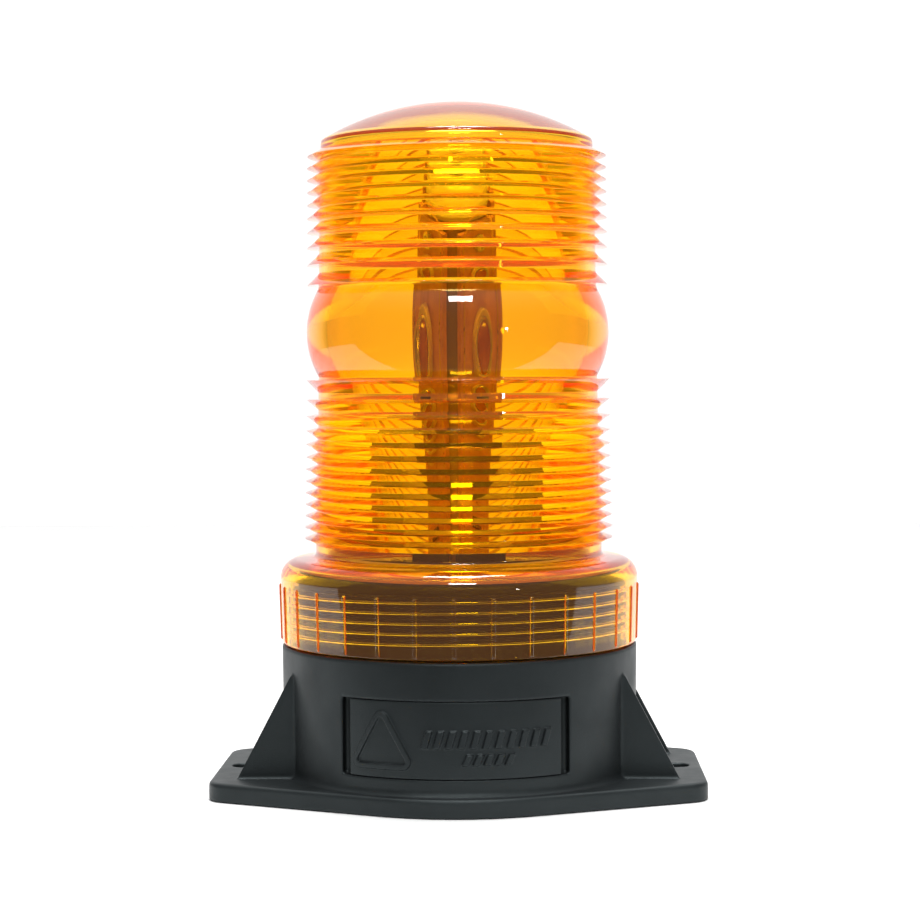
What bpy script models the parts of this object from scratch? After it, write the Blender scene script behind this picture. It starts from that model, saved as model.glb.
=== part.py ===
"""Amber beacon on a two-hole ear flange.

Every dimension is in millimetres. MM turns them into metres where vertices are made.
The flange stands on z = 0, X runs from ear to ear, and the label panel faces -Y.
"""

import math

import bmesh
import bpy
from mathutils import Matrix, Vector

MM = 0.001
GAP = 0.3

# Flange and body
TOTAL_HEIGHT = 164.0
FLANGE_THICKNESS = 4.4
EAR_REACH = 58.0
EAR_HALF_WIDTH = 25.5
EAR_CORNER_RADIUS = 6.0
FLANGE_ROUND_RADIUS = 44.5
FLANGE_EDGE_BREAK = 0.7
SLOT_CENTRE = 51.0
SLOT_LENGTH = 8.0
SLOT_WIDTH = 5.4
BODY_RADIUS_LOW = 42.2
BODY_RADIUS_HIGH = 42.5
BODY_TOP = 34.4
CAVITY_RADIUS = 39.3
CAVITY_NECK_RADIUS = 36.0
DECK_UNDERSIDE = 48.1
DECK_TOP = 50.6
DECK_HOLE_RADIUS = 5.0
GUSSET_OFFSET = 17.0
GUSSET_THICKNESS = 3.0
GUSSET_FOOT_REACH = 51.4
GUSSET_TOP_REACH = 38.6
GUSSET_TOP = 28.4

# Screw thread between the neck and the lens collar
THREAD_PITCH = 2.35
NECK_ROOT_RADIUS = 38.6
NECK_CREST_RADIUS = 39.8
COLLAR_BORE_RADIUS = 40.2
COLLAR_CREST_RADIUS = 39.0
THREAD_BASE_WIDTH = 1.0
THREAD_CREST_WIDTH = 0.3
THREAD_START = 37.6
THREAD_TURNS = 5.2
THREAD_STEPS = 32

# Lens
LENS_SEGMENTS = 32
LENS_BOTTOM = 34.9
COLLAR_RADIUS_LOW = 42.5
COLLAR_RADIUS_HIGH = 42.9
SHOULDER_RADIUS = 4.6
ROOF_TOP = 55.1
SHOULDER_UNDERSIDE = 52.4
NECK_BAND_RADIUS = 34.4
LENS_BORE_LOW = 31.7
LENS_BORE_HIGH = 31.2
BULLSEYE_CENTRE = 108.65
BULLSEYE_HALF_HEIGHT = 10.6
BULLSEYE_BULGE = 2.85
FIRST_TIP_OFFSET = 11.25
UPPER_TEETH = 10
LOWER_TEETH = 13
TIP_RADIUS_TOP = 36.0
TIP_RADIUS_BOTTOM = 37.0
TOOTH_DEPTH = 2.95
FACET_HEIGHT = 3.0
RISER_DROP = 0.12
RISER_RISE = 1.1
LEAST_LAND = 0.35
RIM_RADIUS = 32.8
RIM_BOTTOM = 152.5
DOME_RADIUS = 62.7
DOME_WALL = 2.6
DOME_INNER_RADIUS = 69.0
RIB_COUNT = 30
RIB_WIDTH = 1.0
RIB_HEIGHT = 0.35
RIB_BOTTOM = 35.3
RIB_TOP = 48.8

# Label panel on the front of the body
PANEL_HALF_ANGLE = math.radians(37.6)
PANEL_BOTTOM = 8.3
PANEL_TOP = 25.8
PANEL_FLOOR_RADIUS = 40.6
PANEL_FACE_RADIUS = 42.25
PANEL_RELIEF_RADIUS = 42.75
PANEL_END_SLOT = 1.5

# Light tower, turned so that one corner faces the front
TOWER_TURN = math.radians(39.0)
TOWER_HALF = 7.5
TOWER_CHAMFER = 3.0
TOWER_BORE = 5.0
TOWER_BOTTOM = 52.8
TOWER_TOP = 118.0
BOARD_WIDTH = 12.0
BOARD_THICKNESS = 1.3
BOARD_BOTTOM = 56.8
BOARD_TOP = 117.2
EMITTER_HEIGHT = 108.0
EMITTER_DOME = 2.3
EMITTER_BASE = 0.9
FOOT_DISC_RADIUS = 17.0
FOOT_DISC_THICKNESS = 1.6
FOOT_SOCKET_HALF = 8.5
FOOT_SOCKET_TOP = 56.3
FOOT_SLOT_WIDTH = 1.5
FOOT_SCREW_DISTANCE = 14.8
REFLECTOR_INNER_RADIUS = 24.0
REFLECTOR_OUTER_RADIUS = 35.2
REFLECTOR_THICKNESS = 0.8

# Electronics and bottom cover
POST_RADIUS = 4.2
POST_DISTANCE = 35.5
POST_BORE = 1.5
POST_BOTTOM = 3.4
POST_TOP = 26.7
POST_ANGLES = [math.radians(90.0 + 120.0 * index) for index in range(3)]
DRIVER_BOTTOM = 27.0
DRIVER_THICKNESS = 1.6
DRIVER_RADIUS = 38.6
COVER_BOTTOM = 0.4
COVER_TOP = 3.1
COVER_RADIUS = 38.9
COVER_COUNTERBORE_RADIUS = 3.0
COVER_COUNTERBORE_DEPTH = 1.7
GROMMET_HOLE_RADIUS = 5.1
GROMMET_BORE_RADIUS = 3.1
GROMMET_LIP_RADIUS = 7.2
LEAD_RADIUS = 0.7
LEAD_SPACING = 3.0
HEADER_X = -14.0


# ---------------------------------------------------------------- scene helpers


def clear_scene():
    for item in list(bpy.data.objects):
        bpy.data.objects.remove(item, do_unlink=True)


def make_material(name, colour, roughness, metallic=0.0, transmission=0.0):
    material = bpy.data.materials.new(name)
    material.use_nodes = True
    shader = material.node_tree.nodes["Principled BSDF"]
    shader.inputs["Base Color"].default_value = (*colour, 1.0)
    shader.inputs["Roughness"].default_value = roughness
    shader.inputs["Metallic"].default_value = metallic
    shader.inputs["Transmission Weight"].default_value = transmission
    material.diffuse_color = (*colour, 1.0)
    return material


def make_empty(name, turn=0.0, parent=None):
    empty = bpy.data.objects.new(name, None)
    bpy.context.scene.collection.objects.link(empty)
    empty.rotation_euler[2] = turn
    empty.parent = parent
    return empty


def make_object(name, mesh_builder, material, parent, sharp_angle=32.0):
    """Turn a bmesh into a named object with outward normals and smooth round faces."""
    bmesh.ops.recalc_face_normals(mesh_builder, faces=mesh_builder.faces)
    mesh = bpy.data.meshes.new(name)
    mesh_builder.to_mesh(mesh)
    mesh_builder.free()
    mesh.shade_smooth()
    mesh.set_sharp_from_angle(angle=math.radians(sharp_angle))
    if material:
        mesh.materials.append(material)
    item = bpy.data.objects.new(name, mesh)
    bpy.context.scene.collection.objects.link(item)
    item.parent = parent
    return item


def make_helper(name, mesh_builder, parent):
    """A cutter or an added shape that only feeds a Boolean."""
    helper = make_object(name, mesh_builder, None, parent)
    helper.hide_render = True
    helper.display_type = "WIRE"
    return helper


def boolean(target, helper, operation):
    modifier = target.modifiers.new(helper.name, "BOOLEAN")
    modifier.solver = "EXACT"
    modifier.operation = operation
    modifier.object = helper


# ---------------------------------------------------------------- mesh helpers


def add_turned(builder, outline, segments, centre=(0.0, 0.0)):
    """Spin a closed (radius, z) outline about a vertical axis."""
    rings = []
    for radius, height in outline:
        if radius < 1e-6:
            rings.append([builder.verts.new((centre[0] * MM, centre[1] * MM, height * MM))])
            continue
        ring = []
        for step in range(segments):
            angle = 2.0 * math.pi * step / segments
            x = centre[0] + radius * math.cos(angle)
            y = centre[1] + radius * math.sin(angle)
            ring.append(builder.verts.new((x * MM, y * MM, height * MM)))
        rings.append(ring)
    for index, lower in enumerate(rings):
        upper = rings[(index + 1) % len(rings)]
        if len(lower) == 1 and len(upper) == 1:
            continue
        for step in range(segments):
            following = (step + 1) % segments
            if len(lower) == 1:
                builder.faces.new((lower[0], upper[step], upper[following]))
            elif len(upper) == 1:
                builder.faces.new((lower[step], lower[following], upper[0]))
            else:
                builder.faces.new((lower[step], lower[following], upper[following], upper[step]))


def add_layers(builder, layers, closed_ends=True):
    """Skin a stack of closed loops, each a list of (x, y, z) with the same count."""
    loops = [[builder.verts.new(Vector(point) * MM) for point in layer] for layer in layers]
    count = len(loops[0])
    for lower, upper in zip(loops, loops[1:]):
        for step in range(count):
            following = (step + 1) % count
            builder.faces.new((lower[step], lower[following], upper[following], upper[step]))
    if closed_ends:
        builder.faces.new(list(reversed(loops[0])))
        builder.faces.new(loops[-1])
    return loops


def add_prism(builder, outline, bottom, top):
    add_layers(builder, [[(x, y, z) for x, y in outline] for z in (bottom, top)])


def add_box(builder, low, high):
    outline = [(low[0], low[1]), (high[0], low[1]), (high[0], high[1]), (low[0], high[1])]
    add_prism(builder, outline, low[2], high[2])


def add_tube_prism(builder, outer, inner, bottom, top):
    """A straight-walled frame between two outlines with the same count of points."""
    layers = [
        [(x, y, bottom) for x, y in outer],
        [(x, y, top) for x, y in outer],
        [(x, y, top) for x, y in inner],
        [(x, y, bottom) for x, y in inner],
    ]
    loops = add_layers(builder, layers, closed_ends=False)
    count = len(outer)
    for step in range(count):
        following = (step + 1) % count
        first, last = loops[0], loops[-1]
        builder.faces.new((last[step], last[following], first[following], first[step]))


def turned(name, outline, segments, material, parent):
    builder = bmesh.new()
    add_turned(builder, outline, segments)
    return make_object(name, builder, material, parent)


def turned_helper(name, outline, segments, parent, centres=((0.0, 0.0),)):
    builder = bmesh.new()
    for centre in centres:
        add_turned(builder, outline, segments, centre)
    return make_helper(name, builder, parent)


def cylinder_outline(radius, bottom, top):
    return [(0.0, top), (radius, top), (radius, bottom), (0.0, bottom)]


def arc(centre, radius, start, end, steps):
    """Points on an arc, with both ends included. Angles are in radians."""
    points = []
    for step in range(steps + 1):
        angle = start + (end - start) * step / steps
        points.append((centre[0] + radius * math.cos(angle), centre[1] + radius * math.sin(angle)))
    return points


def on_circle(distance, angles):
    return [(distance * math.cos(angle), distance * math.sin(angle)) for angle in angles]


def wrap_on_body(across, height, radius):
    """Place a point of the flat label panel on a cylinder, facing -Y."""
    angle = across / PANEL_FACE_RADIUS
    return (radius * math.sin(angle), -radius * math.cos(angle), height)


# ---------------------------------------------------------------- screw thread


def add_thread(builder, base_radius, crest_radius, start, turns):
    """Sweep a trapezoid ridge along a right-hand helix. Both ends sink into the wall."""
    total = round(turns * THREAD_STEPS)
    half_base = THREAD_BASE_WIDTH / 2
    half_crest = THREAD_CREST_WIDTH / 2
    layers = []
    for step in range(total + 1):
        angle = 2.0 * math.pi * (step + 0.5) / THREAD_STEPS
        height = start + THREAD_PITCH * step / THREAD_STEPS
        fade = min(1.0, step / 5.0, (total - step) / 5.0)
        crest = base_radius + (crest_radius - base_radius) * (0.2 + 0.8 * fade)
        section = [
            (base_radius, -half_base),
            (crest, -half_crest),
            (crest, half_crest),
            (base_radius, half_base),
        ]
        layers.append(
            [(r * math.cos(angle), r * math.sin(angle), height + dz) for r, dz in section]
        )
    add_layers(builder, layers)


# ---------------------------------------------------------------- lens


def fresnel_tips():
    """Tooth heights above and below the bullseye. The pitch shrinks away from it."""
    upper = [BULLSEYE_CENTRE + FIRST_TIP_OFFSET]
    for index in range(UPPER_TEETH - 1):
        upper.append(upper[-1] + 2.75 + 2.05 * math.exp(-index / 2.6))
    lower = [BULLSEYE_CENTRE - FIRST_TIP_OFFSET]
    for index in range(LOWER_TEETH - 1):
        lower.append(lower[-1] - 2.68 - 1.95 * math.exp(-index / 2.4))
    return upper, lower


def tip_radius(height):
    """The teeth lie on a cone that widens a little towards the base."""
    upper, lower = fresnel_tips()
    share = (upper[-1] - height) / (upper[-1] - lower[-1])
    return TIP_RADIUS_TOP + (TIP_RADIUS_BOTTOM - TIP_RADIUS_TOP) * share


def bullseye_arc(steps):
    """The convex band at emitter height, from its upper edge down."""
    edge_radius = tip_radius(BULLSEYE_CENTRE) - TOOTH_DEPTH
    radius = (BULLSEYE_HALF_HEIGHT**2 + BULLSEYE_BULGE**2) / (2.0 * BULLSEYE_BULGE)
    half_angle = math.asin(BULLSEYE_HALF_HEIGHT / radius)
    centre = (edge_radius + BULLSEYE_BULGE - radius, BULLSEYE_CENTRE)
    return arc(centre, radius, half_angle, -half_angle, steps)


def dome_arc(apex, radius, from_radius, to_radius, steps):
    """Points of the dome between two distances from the axis."""
    centre_height = apex - radius
    start = math.asin(from_radius / radius)
    end = math.asin(to_radius / radius)
    points = []
    for step in range(steps + 1):
        angle = start + (end - start) * step / steps
        points.append((radius * math.sin(angle), centre_height + radius * math.cos(angle)))
    return points


def upper_teeth():
    """Prism rings above the bullseye: a sloping facet, a tip and a riser that drops inwards."""
    upper = fresnel_tips()[0]
    points = []
    for index in range(UPPER_TEETH - 1, -1, -1):
        height = upper[index]
        facet = FACET_HEIGHT - 0.15 * index
        free = facet + LEAST_LAND
        if index + 1 < UPPER_TEETH:
            free = upper[index + 1] - RISER_DROP * (index + 1) - height
        valley_radius = tip_radius(height) - TOOTH_DEPTH
        if free - facet >= LEAST_LAND:
            points.append((valley_radius, height + facet))
        points.append((tip_radius(height), height))
        points.append((valley_radius, height - RISER_DROP * index))
    return points


def riser_rise(index):
    return min(RISER_RISE, 0.28 * index)


def lower_teeth():
    """Prism rings below the bullseye: both faces slope, and the rings lower down close up."""
    lower = fresnel_tips()[1]
    points = []
    for index, height in enumerate(lower):
        facet = 0.5 * FACET_HEIGHT * (1.0 + math.exp(-index / 3.0))
        free = facet + LEAST_LAND
        if index + 1 < LOWER_TEETH:
            free = height - lower[index + 1] - riser_rise(index + 1)
        valley_radius = tip_radius(height) - TOOTH_DEPTH
        points.append((valley_radius, height + riser_rise(index)))
        points.append((tip_radius(height), height))
        if index + 1 < LOWER_TEETH and free - facet >= LEAST_LAND:
            points.append((valley_radius, height - facet))
    return points


def lens_outline():
    """The lens section: down the outside from the apex, then up the inside."""
    points = dome_arc(TOTAL_HEIGHT, DOME_RADIUS, 0.0, RIM_RADIUS, 7)
    points.append((RIM_RADIUS, RIM_BOTTOM))
    points.extend(upper_teeth())
    points.extend(bullseye_arc(8))
    points.extend(lower_teeth())
    points.append((NECK_BAND_RADIUS, fresnel_tips()[1][-1] - 1.4))
    points.append((NECK_BAND_RADIUS, ROOF_TOP + 0.6))
    points.append((NECK_BAND_RADIUS + 0.8, ROOF_TOP))
    shoulder_centre = (COLLAR_RADIUS_HIGH - SHOULDER_RADIUS, ROOF_TOP - 0.3 - SHOULDER_RADIUS)
    points.extend(arc(shoulder_centre, SHOULDER_RADIUS, math.radians(88.0), 0.0, 5))
    points.append((COLLAR_RADIUS_LOW, LENS_BOTTOM))
    points.append((COLLAR_BORE_RADIUS, LENS_BOTTOM))
    points.append((COLLAR_BORE_RADIUS, SHOULDER_UNDERSIDE - 0.8))
    points.append((COLLAR_BORE_RADIUS - 0.8, SHOULDER_UNDERSIDE))
    points.append((LENS_BORE_LOW + 0.6, SHOULDER_UNDERSIDE))
    points.append((LENS_BORE_LOW, SHOULDER_UNDERSIDE + 0.6))
    apex = TOTAL_HEIGHT - DOME_WALL
    points.extend(dome_arc(apex, DOME_INNER_RADIUS, LENS_BORE_HIGH, 0.0, 6))
    return points


def build_lens(parent):
    amber = make_material("amber_polycarbonate", (1.0, 0.42, 0.02), 0.05, transmission=1.0)
    lens = turned("lens", lens_outline(), LENS_SEGMENTS, amber, parent)

    thread = bmesh.new()
    start = THREAD_START - THREAD_PITCH / 2.0
    add_thread(thread, COLLAR_BORE_RADIUS + 0.35, COLLAR_CREST_RADIUS, start, THREAD_TURNS + 0.2)
    boolean(lens, make_helper("collar_thread", thread, parent), "UNION")

    ribs = bmesh.new()
    for index in range(RIB_COUNT):
        turn = Matrix.Rotation(2.0 * math.pi * (index + 0.5) / RIB_COUNT, 3, "Z")
        section = [
            (COLLAR_RADIUS_LOW - 0.8, -RIB_WIDTH / 2),
            (COLLAR_RADIUS_LOW + RIB_HEIGHT, -RIB_WIDTH / 4),
            (COLLAR_RADIUS_LOW + RIB_HEIGHT, RIB_WIDTH / 4),
            (COLLAR_RADIUS_LOW - 0.8, RIB_WIDTH / 2),
        ]
        lower = [turn @ Vector((x, y, RIB_BOTTOM)) for x, y in section]
        lean = COLLAR_RADIUS_HIGH - COLLAR_RADIUS_LOW
        upper = [turn @ Vector((x + lean, y, RIB_TOP)) for x, y in section]
        add_layers(ribs, [lower, upper])
    boolean(lens, make_helper("collar_ribs", ribs, parent), "UNION")


def build_gasket(parent):
    silicone = make_material("silicone", (0.62, 0.6, 0.56), 0.5)
    low = DECK_TOP + GAP
    high = SHOULDER_UNDERSIDE - GAP
    outline = [(38.2, high), (38.4, high - 0.3), (38.4, low), (35.6, low), (35.6, high)]
    turned("lens_gasket", outline, 32, silicone, parent)


# ---------------------------------------------------------------- base housing


def flange_outline(inset, arc_steps=10, corner_steps=4):
    """Two rounded ears joined by tangents to a round middle, shrunk by inset."""
    corner_x = EAR_REACH - EAR_CORNER_RADIUS
    corner_y = EAR_HALF_WIDTH - EAR_CORNER_RADIUS
    round_radius = FLANGE_ROUND_RADIUS - inset
    corner_radius = EAR_CORNER_RADIUS - inset
    distance = math.hypot(corner_x, corner_y)
    bearing = math.atan2(corner_y, corner_x)
    tangent = bearing + math.acos((round_radius - corner_radius) / distance)
    quarter = arc((corner_x, corner_y), corner_radius, 0.0, tangent, corner_steps)
    quarter += arc((0.0, 0.0), round_radius, tangent, math.pi / 2, arc_steps)
    half = quarter + [(-x, y) for x, y in reversed(quarter[:-1])]
    return half + [(-x, -y) for x, y in half]


def build_flange_helper(parent):
    builder = bmesh.new()
    layers = []
    for inset, height in (
        (0.0, 0.0),
        (0.0, FLANGE_THICKNESS - FLANGE_EDGE_BREAK),
        (FLANGE_EDGE_BREAK, FLANGE_THICKNESS),
    ):
        layers.append([(x, y, height) for x, y in flange_outline(inset)])
    add_layers(builder, layers)
    return make_helper("flange_shape", builder, parent)


def build_gusset_helper(parent):
    builder = bmesh.new()
    half = GUSSET_THICKNESS / 2
    for side_x in (1, -1):
        for side_y in (1, -1):
            profile = [
                (34.0, FLANGE_THICKNESS - 1.0),
                (GUSSET_FOOT_REACH, FLANGE_THICKNESS - 1.0),
                (GUSSET_FOOT_REACH, FLANGE_THICKNESS + 0.4),
                (GUSSET_TOP_REACH + 0.4, GUSSET_TOP),
                (34.0, GUSSET_TOP),
            ]
            middle = side_y * GUSSET_OFFSET
            layers = []
            for y in (middle - half, middle + half):
                layers.append([(side_x * x, y, z) for x, z in profile])
            add_layers(builder, layers)
    return make_helper("gusset_shapes", builder, parent)


def add_panel_block(builder, half_angle, bottom, top, inner, outer, steps=20):
    """A curved block of the body wall, centred on the front."""
    section = []
    for radius, direction in ((outer, 1), (inner, -1)):
        for step in range(steps + 1):
            angle = direction * (-half_angle + 2.0 * half_angle * step / steps)
            section.append((radius * math.sin(angle), -radius * math.cos(angle)))
    add_prism(builder, section, bottom, top)


def build_base_housing(parent):
    black = make_material("black_housing", (0.028, 0.033, 0.036), 0.45)
    outline = [
        (0.0, DECK_TOP),
        (NECK_ROOT_RADIUS - 0.4, DECK_TOP),
        (NECK_ROOT_RADIUS, DECK_TOP - 0.4),
        (NECK_ROOT_RADIUS, BODY_TOP),
        (BODY_RADIUS_HIGH - 0.4, BODY_TOP),
        (BODY_RADIUS_HIGH, BODY_TOP - 0.4),
        (BODY_RADIUS_LOW, FLANGE_THICKNESS + 1.0),
        (BODY_RADIUS_LOW, 0.2),
        (0.0, 0.2),
    ]
    housing = turned("base_housing", outline, 48, black, parent)
    boolean(housing, build_flange_helper(parent), "UNION")
    boolean(housing, build_gusset_helper(parent), "UNION")

    thread = bmesh.new()
    add_thread(thread, NECK_ROOT_RADIUS - 0.35, NECK_CREST_RADIUS, THREAD_START, THREAD_TURNS)
    boolean(housing, make_helper("neck_thread", thread, parent), "UNION")

    cavity = [
        (0.0, DECK_UNDERSIDE),
        (CAVITY_NECK_RADIUS, DECK_UNDERSIDE),
        (CAVITY_NECK_RADIUS, BODY_TOP - 1.5),
        (CAVITY_RADIUS, BODY_TOP - 3.0),
        (CAVITY_RADIUS, -1.0),
        (0.0, -1.0),
    ]
    boolean(housing, turned_helper("cavity", cavity, 36, parent), "DIFFERENCE")

    post = [
        (POST_RADIUS, POST_TOP),
        (POST_RADIUS, POST_BOTTOM),
        (POST_BORE, POST_BOTTOM),
        (POST_BORE, POST_TOP),
    ]
    centres = on_circle(POST_DISTANCE, POST_ANGLES)
    boolean(housing, turned_helper("screw_posts", post, 12, parent, centres), "UNION")

    pocket = bmesh.new()
    add_panel_block(
        pocket, PANEL_HALF_ANGLE, PANEL_BOTTOM, PANEL_TOP, PANEL_FLOOR_RADIUS, BODY_RADIUS_HIGH + 2
    )
    boolean(housing, make_helper("label_pocket", pocket, parent), "DIFFERENCE")

    slots = bmesh.new()
    half_run = (SLOT_LENGTH - SLOT_WIDTH) / 2
    for side in (1, -1):
        right = arc((half_run, 0.0), SLOT_WIDTH / 2, -math.pi / 2, math.pi / 2, 8)
        outline = right + [(-x, -y) for x, y in right]
        moved = [(x + side * SLOT_CENTRE, y) for x, y in outline]
        add_prism(slots, moved, -1.0, FLANGE_THICKNESS + 1.0)
    boolean(housing, make_helper("ear_slots", slots, parent), "DIFFERENCE")

    lead_hole = cylinder_outline(DECK_HOLE_RADIUS, DECK_UNDERSIDE - 1.0, DECK_TOP + 1.0)
    boolean(housing, turned_helper("deck_hole", lead_hole, 16, parent), "DIFFERENCE")

    pilot = cylinder_outline(1.3, DECK_UNDERSIDE - 1.0, DECK_TOP + 1.0)
    first = TOWER_TURN - math.pi / 4
    corners = on_circle(FOOT_SCREW_DISTANCE, [first + math.pi / 2 * index for index in range(4)])
    boolean(housing, turned_helper("foot_screw_holes", pilot, 8, parent, corners), "DIFFERENCE")


# ---------------------------------------------------------------- label insert


def rounded_triangle(size, corner_radius, steps):
    """A triangle with its point up, size measured from its middle to a corner's centre."""
    points = []
    for index in range(3):
        facing = math.radians(90.0 + 120.0 * index)
        centre = (size * math.cos(facing), size * math.sin(facing))
        sweep = math.radians(60.0)
        points.extend(arc(centre, corner_radius, facing - sweep, facing + sweep, steps))
    dense = []
    for index, (x, y) in enumerate(points):
        next_x, next_y = points[(index + 1) % len(points)]
        pieces = 3 if math.hypot(next_x - x, next_y - y) > 2.0 else 1
        for piece in range(pieces):
            share = piece / pieces
            dense.append((x + (next_x - x) * share, y + (next_y - y) * share))
    return dense


def add_triangle_badge(builder, across, height):
    """A raised triangle outline wrapped on the panel."""
    outer = rounded_triangle(5.2, 1.7, 3)
    inner = rounded_triangle(5.2, 0.6, 3)
    radii = (PANEL_FACE_RADIUS - 0.5, PANEL_RELIEF_RADIUS)
    layers = []
    for outline, radius in (
        (outer, radii[0]),
        (outer, radii[1]),
        (inner, radii[1]),
        (inner, radii[0]),
    ):
        layers.append([wrap_on_body(across + x, height + y, radius) for x, y in outline])
    loops = add_layers(builder, layers, closed_ends=False)
    count = len(outer)
    for step in range(count):
        following = (step + 1) % count
        first, last = loops[0], loops[-1]
        builder.faces.new((last[step], last[following], first[following], first[step]))


def add_slanted_bars(builder, start, pitch, count, bottom, top):
    width = 1.45
    slant = 1.1
    for index in range(count):
        left = start + pitch * index
        outline = [
            (left, bottom),
            (left + width, bottom),
            (left + width + slant, top),
            (left + slant, top),
        ]
        layers = []
        for radius in (PANEL_FACE_RADIUS - 0.5, PANEL_RELIEF_RADIUS):
            layers.append([wrap_on_body(x, z, radius) for x, z in outline])
        add_layers(builder, layers)


def build_label_insert(parent):
    black = make_material("black_label", (0.03, 0.035, 0.038), 0.4)
    end_slot = PANEL_END_SLOT / PANEL_FACE_RADIUS
    builder = bmesh.new()
    add_panel_block(
        builder,
        PANEL_HALF_ANGLE - end_slot,
        PANEL_BOTTOM + GAP,
        PANEL_TOP - GAP,
        PANEL_FLOOR_RADIUS + GAP,
        PANEL_FACE_RADIUS,
    )
    insert = make_object("label_insert", builder, black, parent)
    relief = bmesh.new()
    add_triangle_badge(relief, -17.2, 15.6)
    add_slanted_bars(relief, -7.6, 2.75, 11, 15.4, 19.2)
    add_slanted_bars(relief, 1.6, 2.4, 5, 11.6, 14.0)
    boolean(insert, make_helper("label_relief", relief, parent), "UNION")


# ---------------------------------------------------------------- screws


def make_screw(name, material, parent, head, shank, segments=8):
    """A pan-head screw with its head on +Z. head and shank are (radius, length)."""
    head_radius, head_height = head
    shank_radius, shank_length = shank
    outline = [
        (0.0, head_height * 0.45),
        (head_radius * 0.4, head_height),
        (head_radius * 0.75, head_height),
        (head_radius, head_height * 0.5),
        (head_radius, 0.0),
        (shank_radius, 0.0),
        (shank_radius, 0.8 - shank_length),
        (0.0, -shank_length),
    ]
    return turned(name, outline, segments, material, parent)


def place(item, x, y, z, flipped=False):
    item.location = (x * MM, y * MM, z * MM)
    if flipped:
        item.rotation_euler[0] = math.pi


# ---------------------------------------------------------------- light tower


def place_on_face(item, face, distance, sideways, height):
    """Stand an object's +Z along the outward normal of one tower face."""
    turn = Matrix.Rotation(face * math.pi / 2, 4, "Z")
    move = Matrix.Translation(Vector((distance, sideways, height)) * MM)
    lay = Matrix.Rotation(math.pi / 2, 4, "Y")
    item.matrix_local = turn @ move @ lay


def chamfered_square(half, chamfer):
    return [
        (half, -half + chamfer),
        (half, half - chamfer),
        (half - chamfer, half),
        (-half + chamfer, half),
        (-half, half - chamfer),
        (-half, -half + chamfer),
        (-half + chamfer, -half),
        (half - chamfer, -half),
    ]


def build_tower_foot(parent):
    nylon = make_material("foot_nylon", (0.05, 0.045, 0.04), 0.4)
    bottom = DECK_TOP + GAP
    disc_top = bottom + FOOT_DISC_THICKNESS
    outline = [
        (DECK_HOLE_RADIUS, disc_top),
        (FOOT_DISC_RADIUS - 0.4, disc_top),
        (FOOT_DISC_RADIUS, disc_top - 0.4),
        (FOOT_DISC_RADIUS, bottom),
        (DECK_HOLE_RADIUS, bottom),
    ]
    foot = turned("tower_foot", outline, 32, nylon, parent)
    socket = bmesh.new()
    outer = chamfered_square(FOOT_SOCKET_HALF, 0.8)
    inner = chamfered_square(TOWER_HALF + GAP, TOWER_CHAMFER)
    add_tube_prism(socket, outer, inner, disc_top - 0.5, FOOT_SOCKET_TOP)
    boolean(foot, make_helper("foot_socket", socket, parent), "UNION")
    slots = bmesh.new()
    half = FOOT_SLOT_WIDTH / 2
    for index in range(4):
        turn = Matrix.Rotation(math.pi / 4 + math.pi / 2 * index, 3, "Z")
        outline = [(8.5, -half), (13.0, -half), (13.0, half), (8.5, half)]
        layers = []
        for z in (disc_top + 0.4, FOOT_SOCKET_TOP + 1.0):
            layers.append([turn @ Vector((x, y, z)) for x, y in outline])
        add_layers(slots, layers)
    boolean(foot, make_helper("foot_slots", slots, parent), "DIFFERENCE")
    hole = cylinder_outline(1.3, bottom - 1.0, disc_top + 1.0)
    angles = [math.pi / 4 + math.pi / 2 * index for index in range(4)]
    centres = on_circle(FOOT_SCREW_DISTANCE, angles)
    boolean(foot, turned_helper("foot_holes", hole, 8, parent, centres), "DIFFERENCE")

    steel = make_material("foot_screw_steel", (0.75, 0.75, 0.75), 0.25, metallic=1.0)
    for index, (x, y) in enumerate(centres):
        screw = make_screw(f"foot_screw_{index + 1}", steel, parent, (1.9, 1.3), (1.0, 5.0))
        place(screw, x, y, disc_top + GAP)


def build_deck_reflector(parent):
    white = make_material("reflector_plastic", (0.7, 0.68, 0.64), 0.4)
    low = DECK_TOP + GAP
    high = low + REFLECTOR_THICKNESS
    outline = [
        (REFLECTOR_INNER_RADIUS, high),
        (REFLECTOR_OUTER_RADIUS - 0.2, high),
        (REFLECTOR_OUTER_RADIUS, high - 0.2),
        (REFLECTOR_OUTER_RADIUS, low),
        (REFLECTOR_INNER_RADIUS, low),
    ]
    turned("deck_reflector", outline, 40, white, parent)


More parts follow.
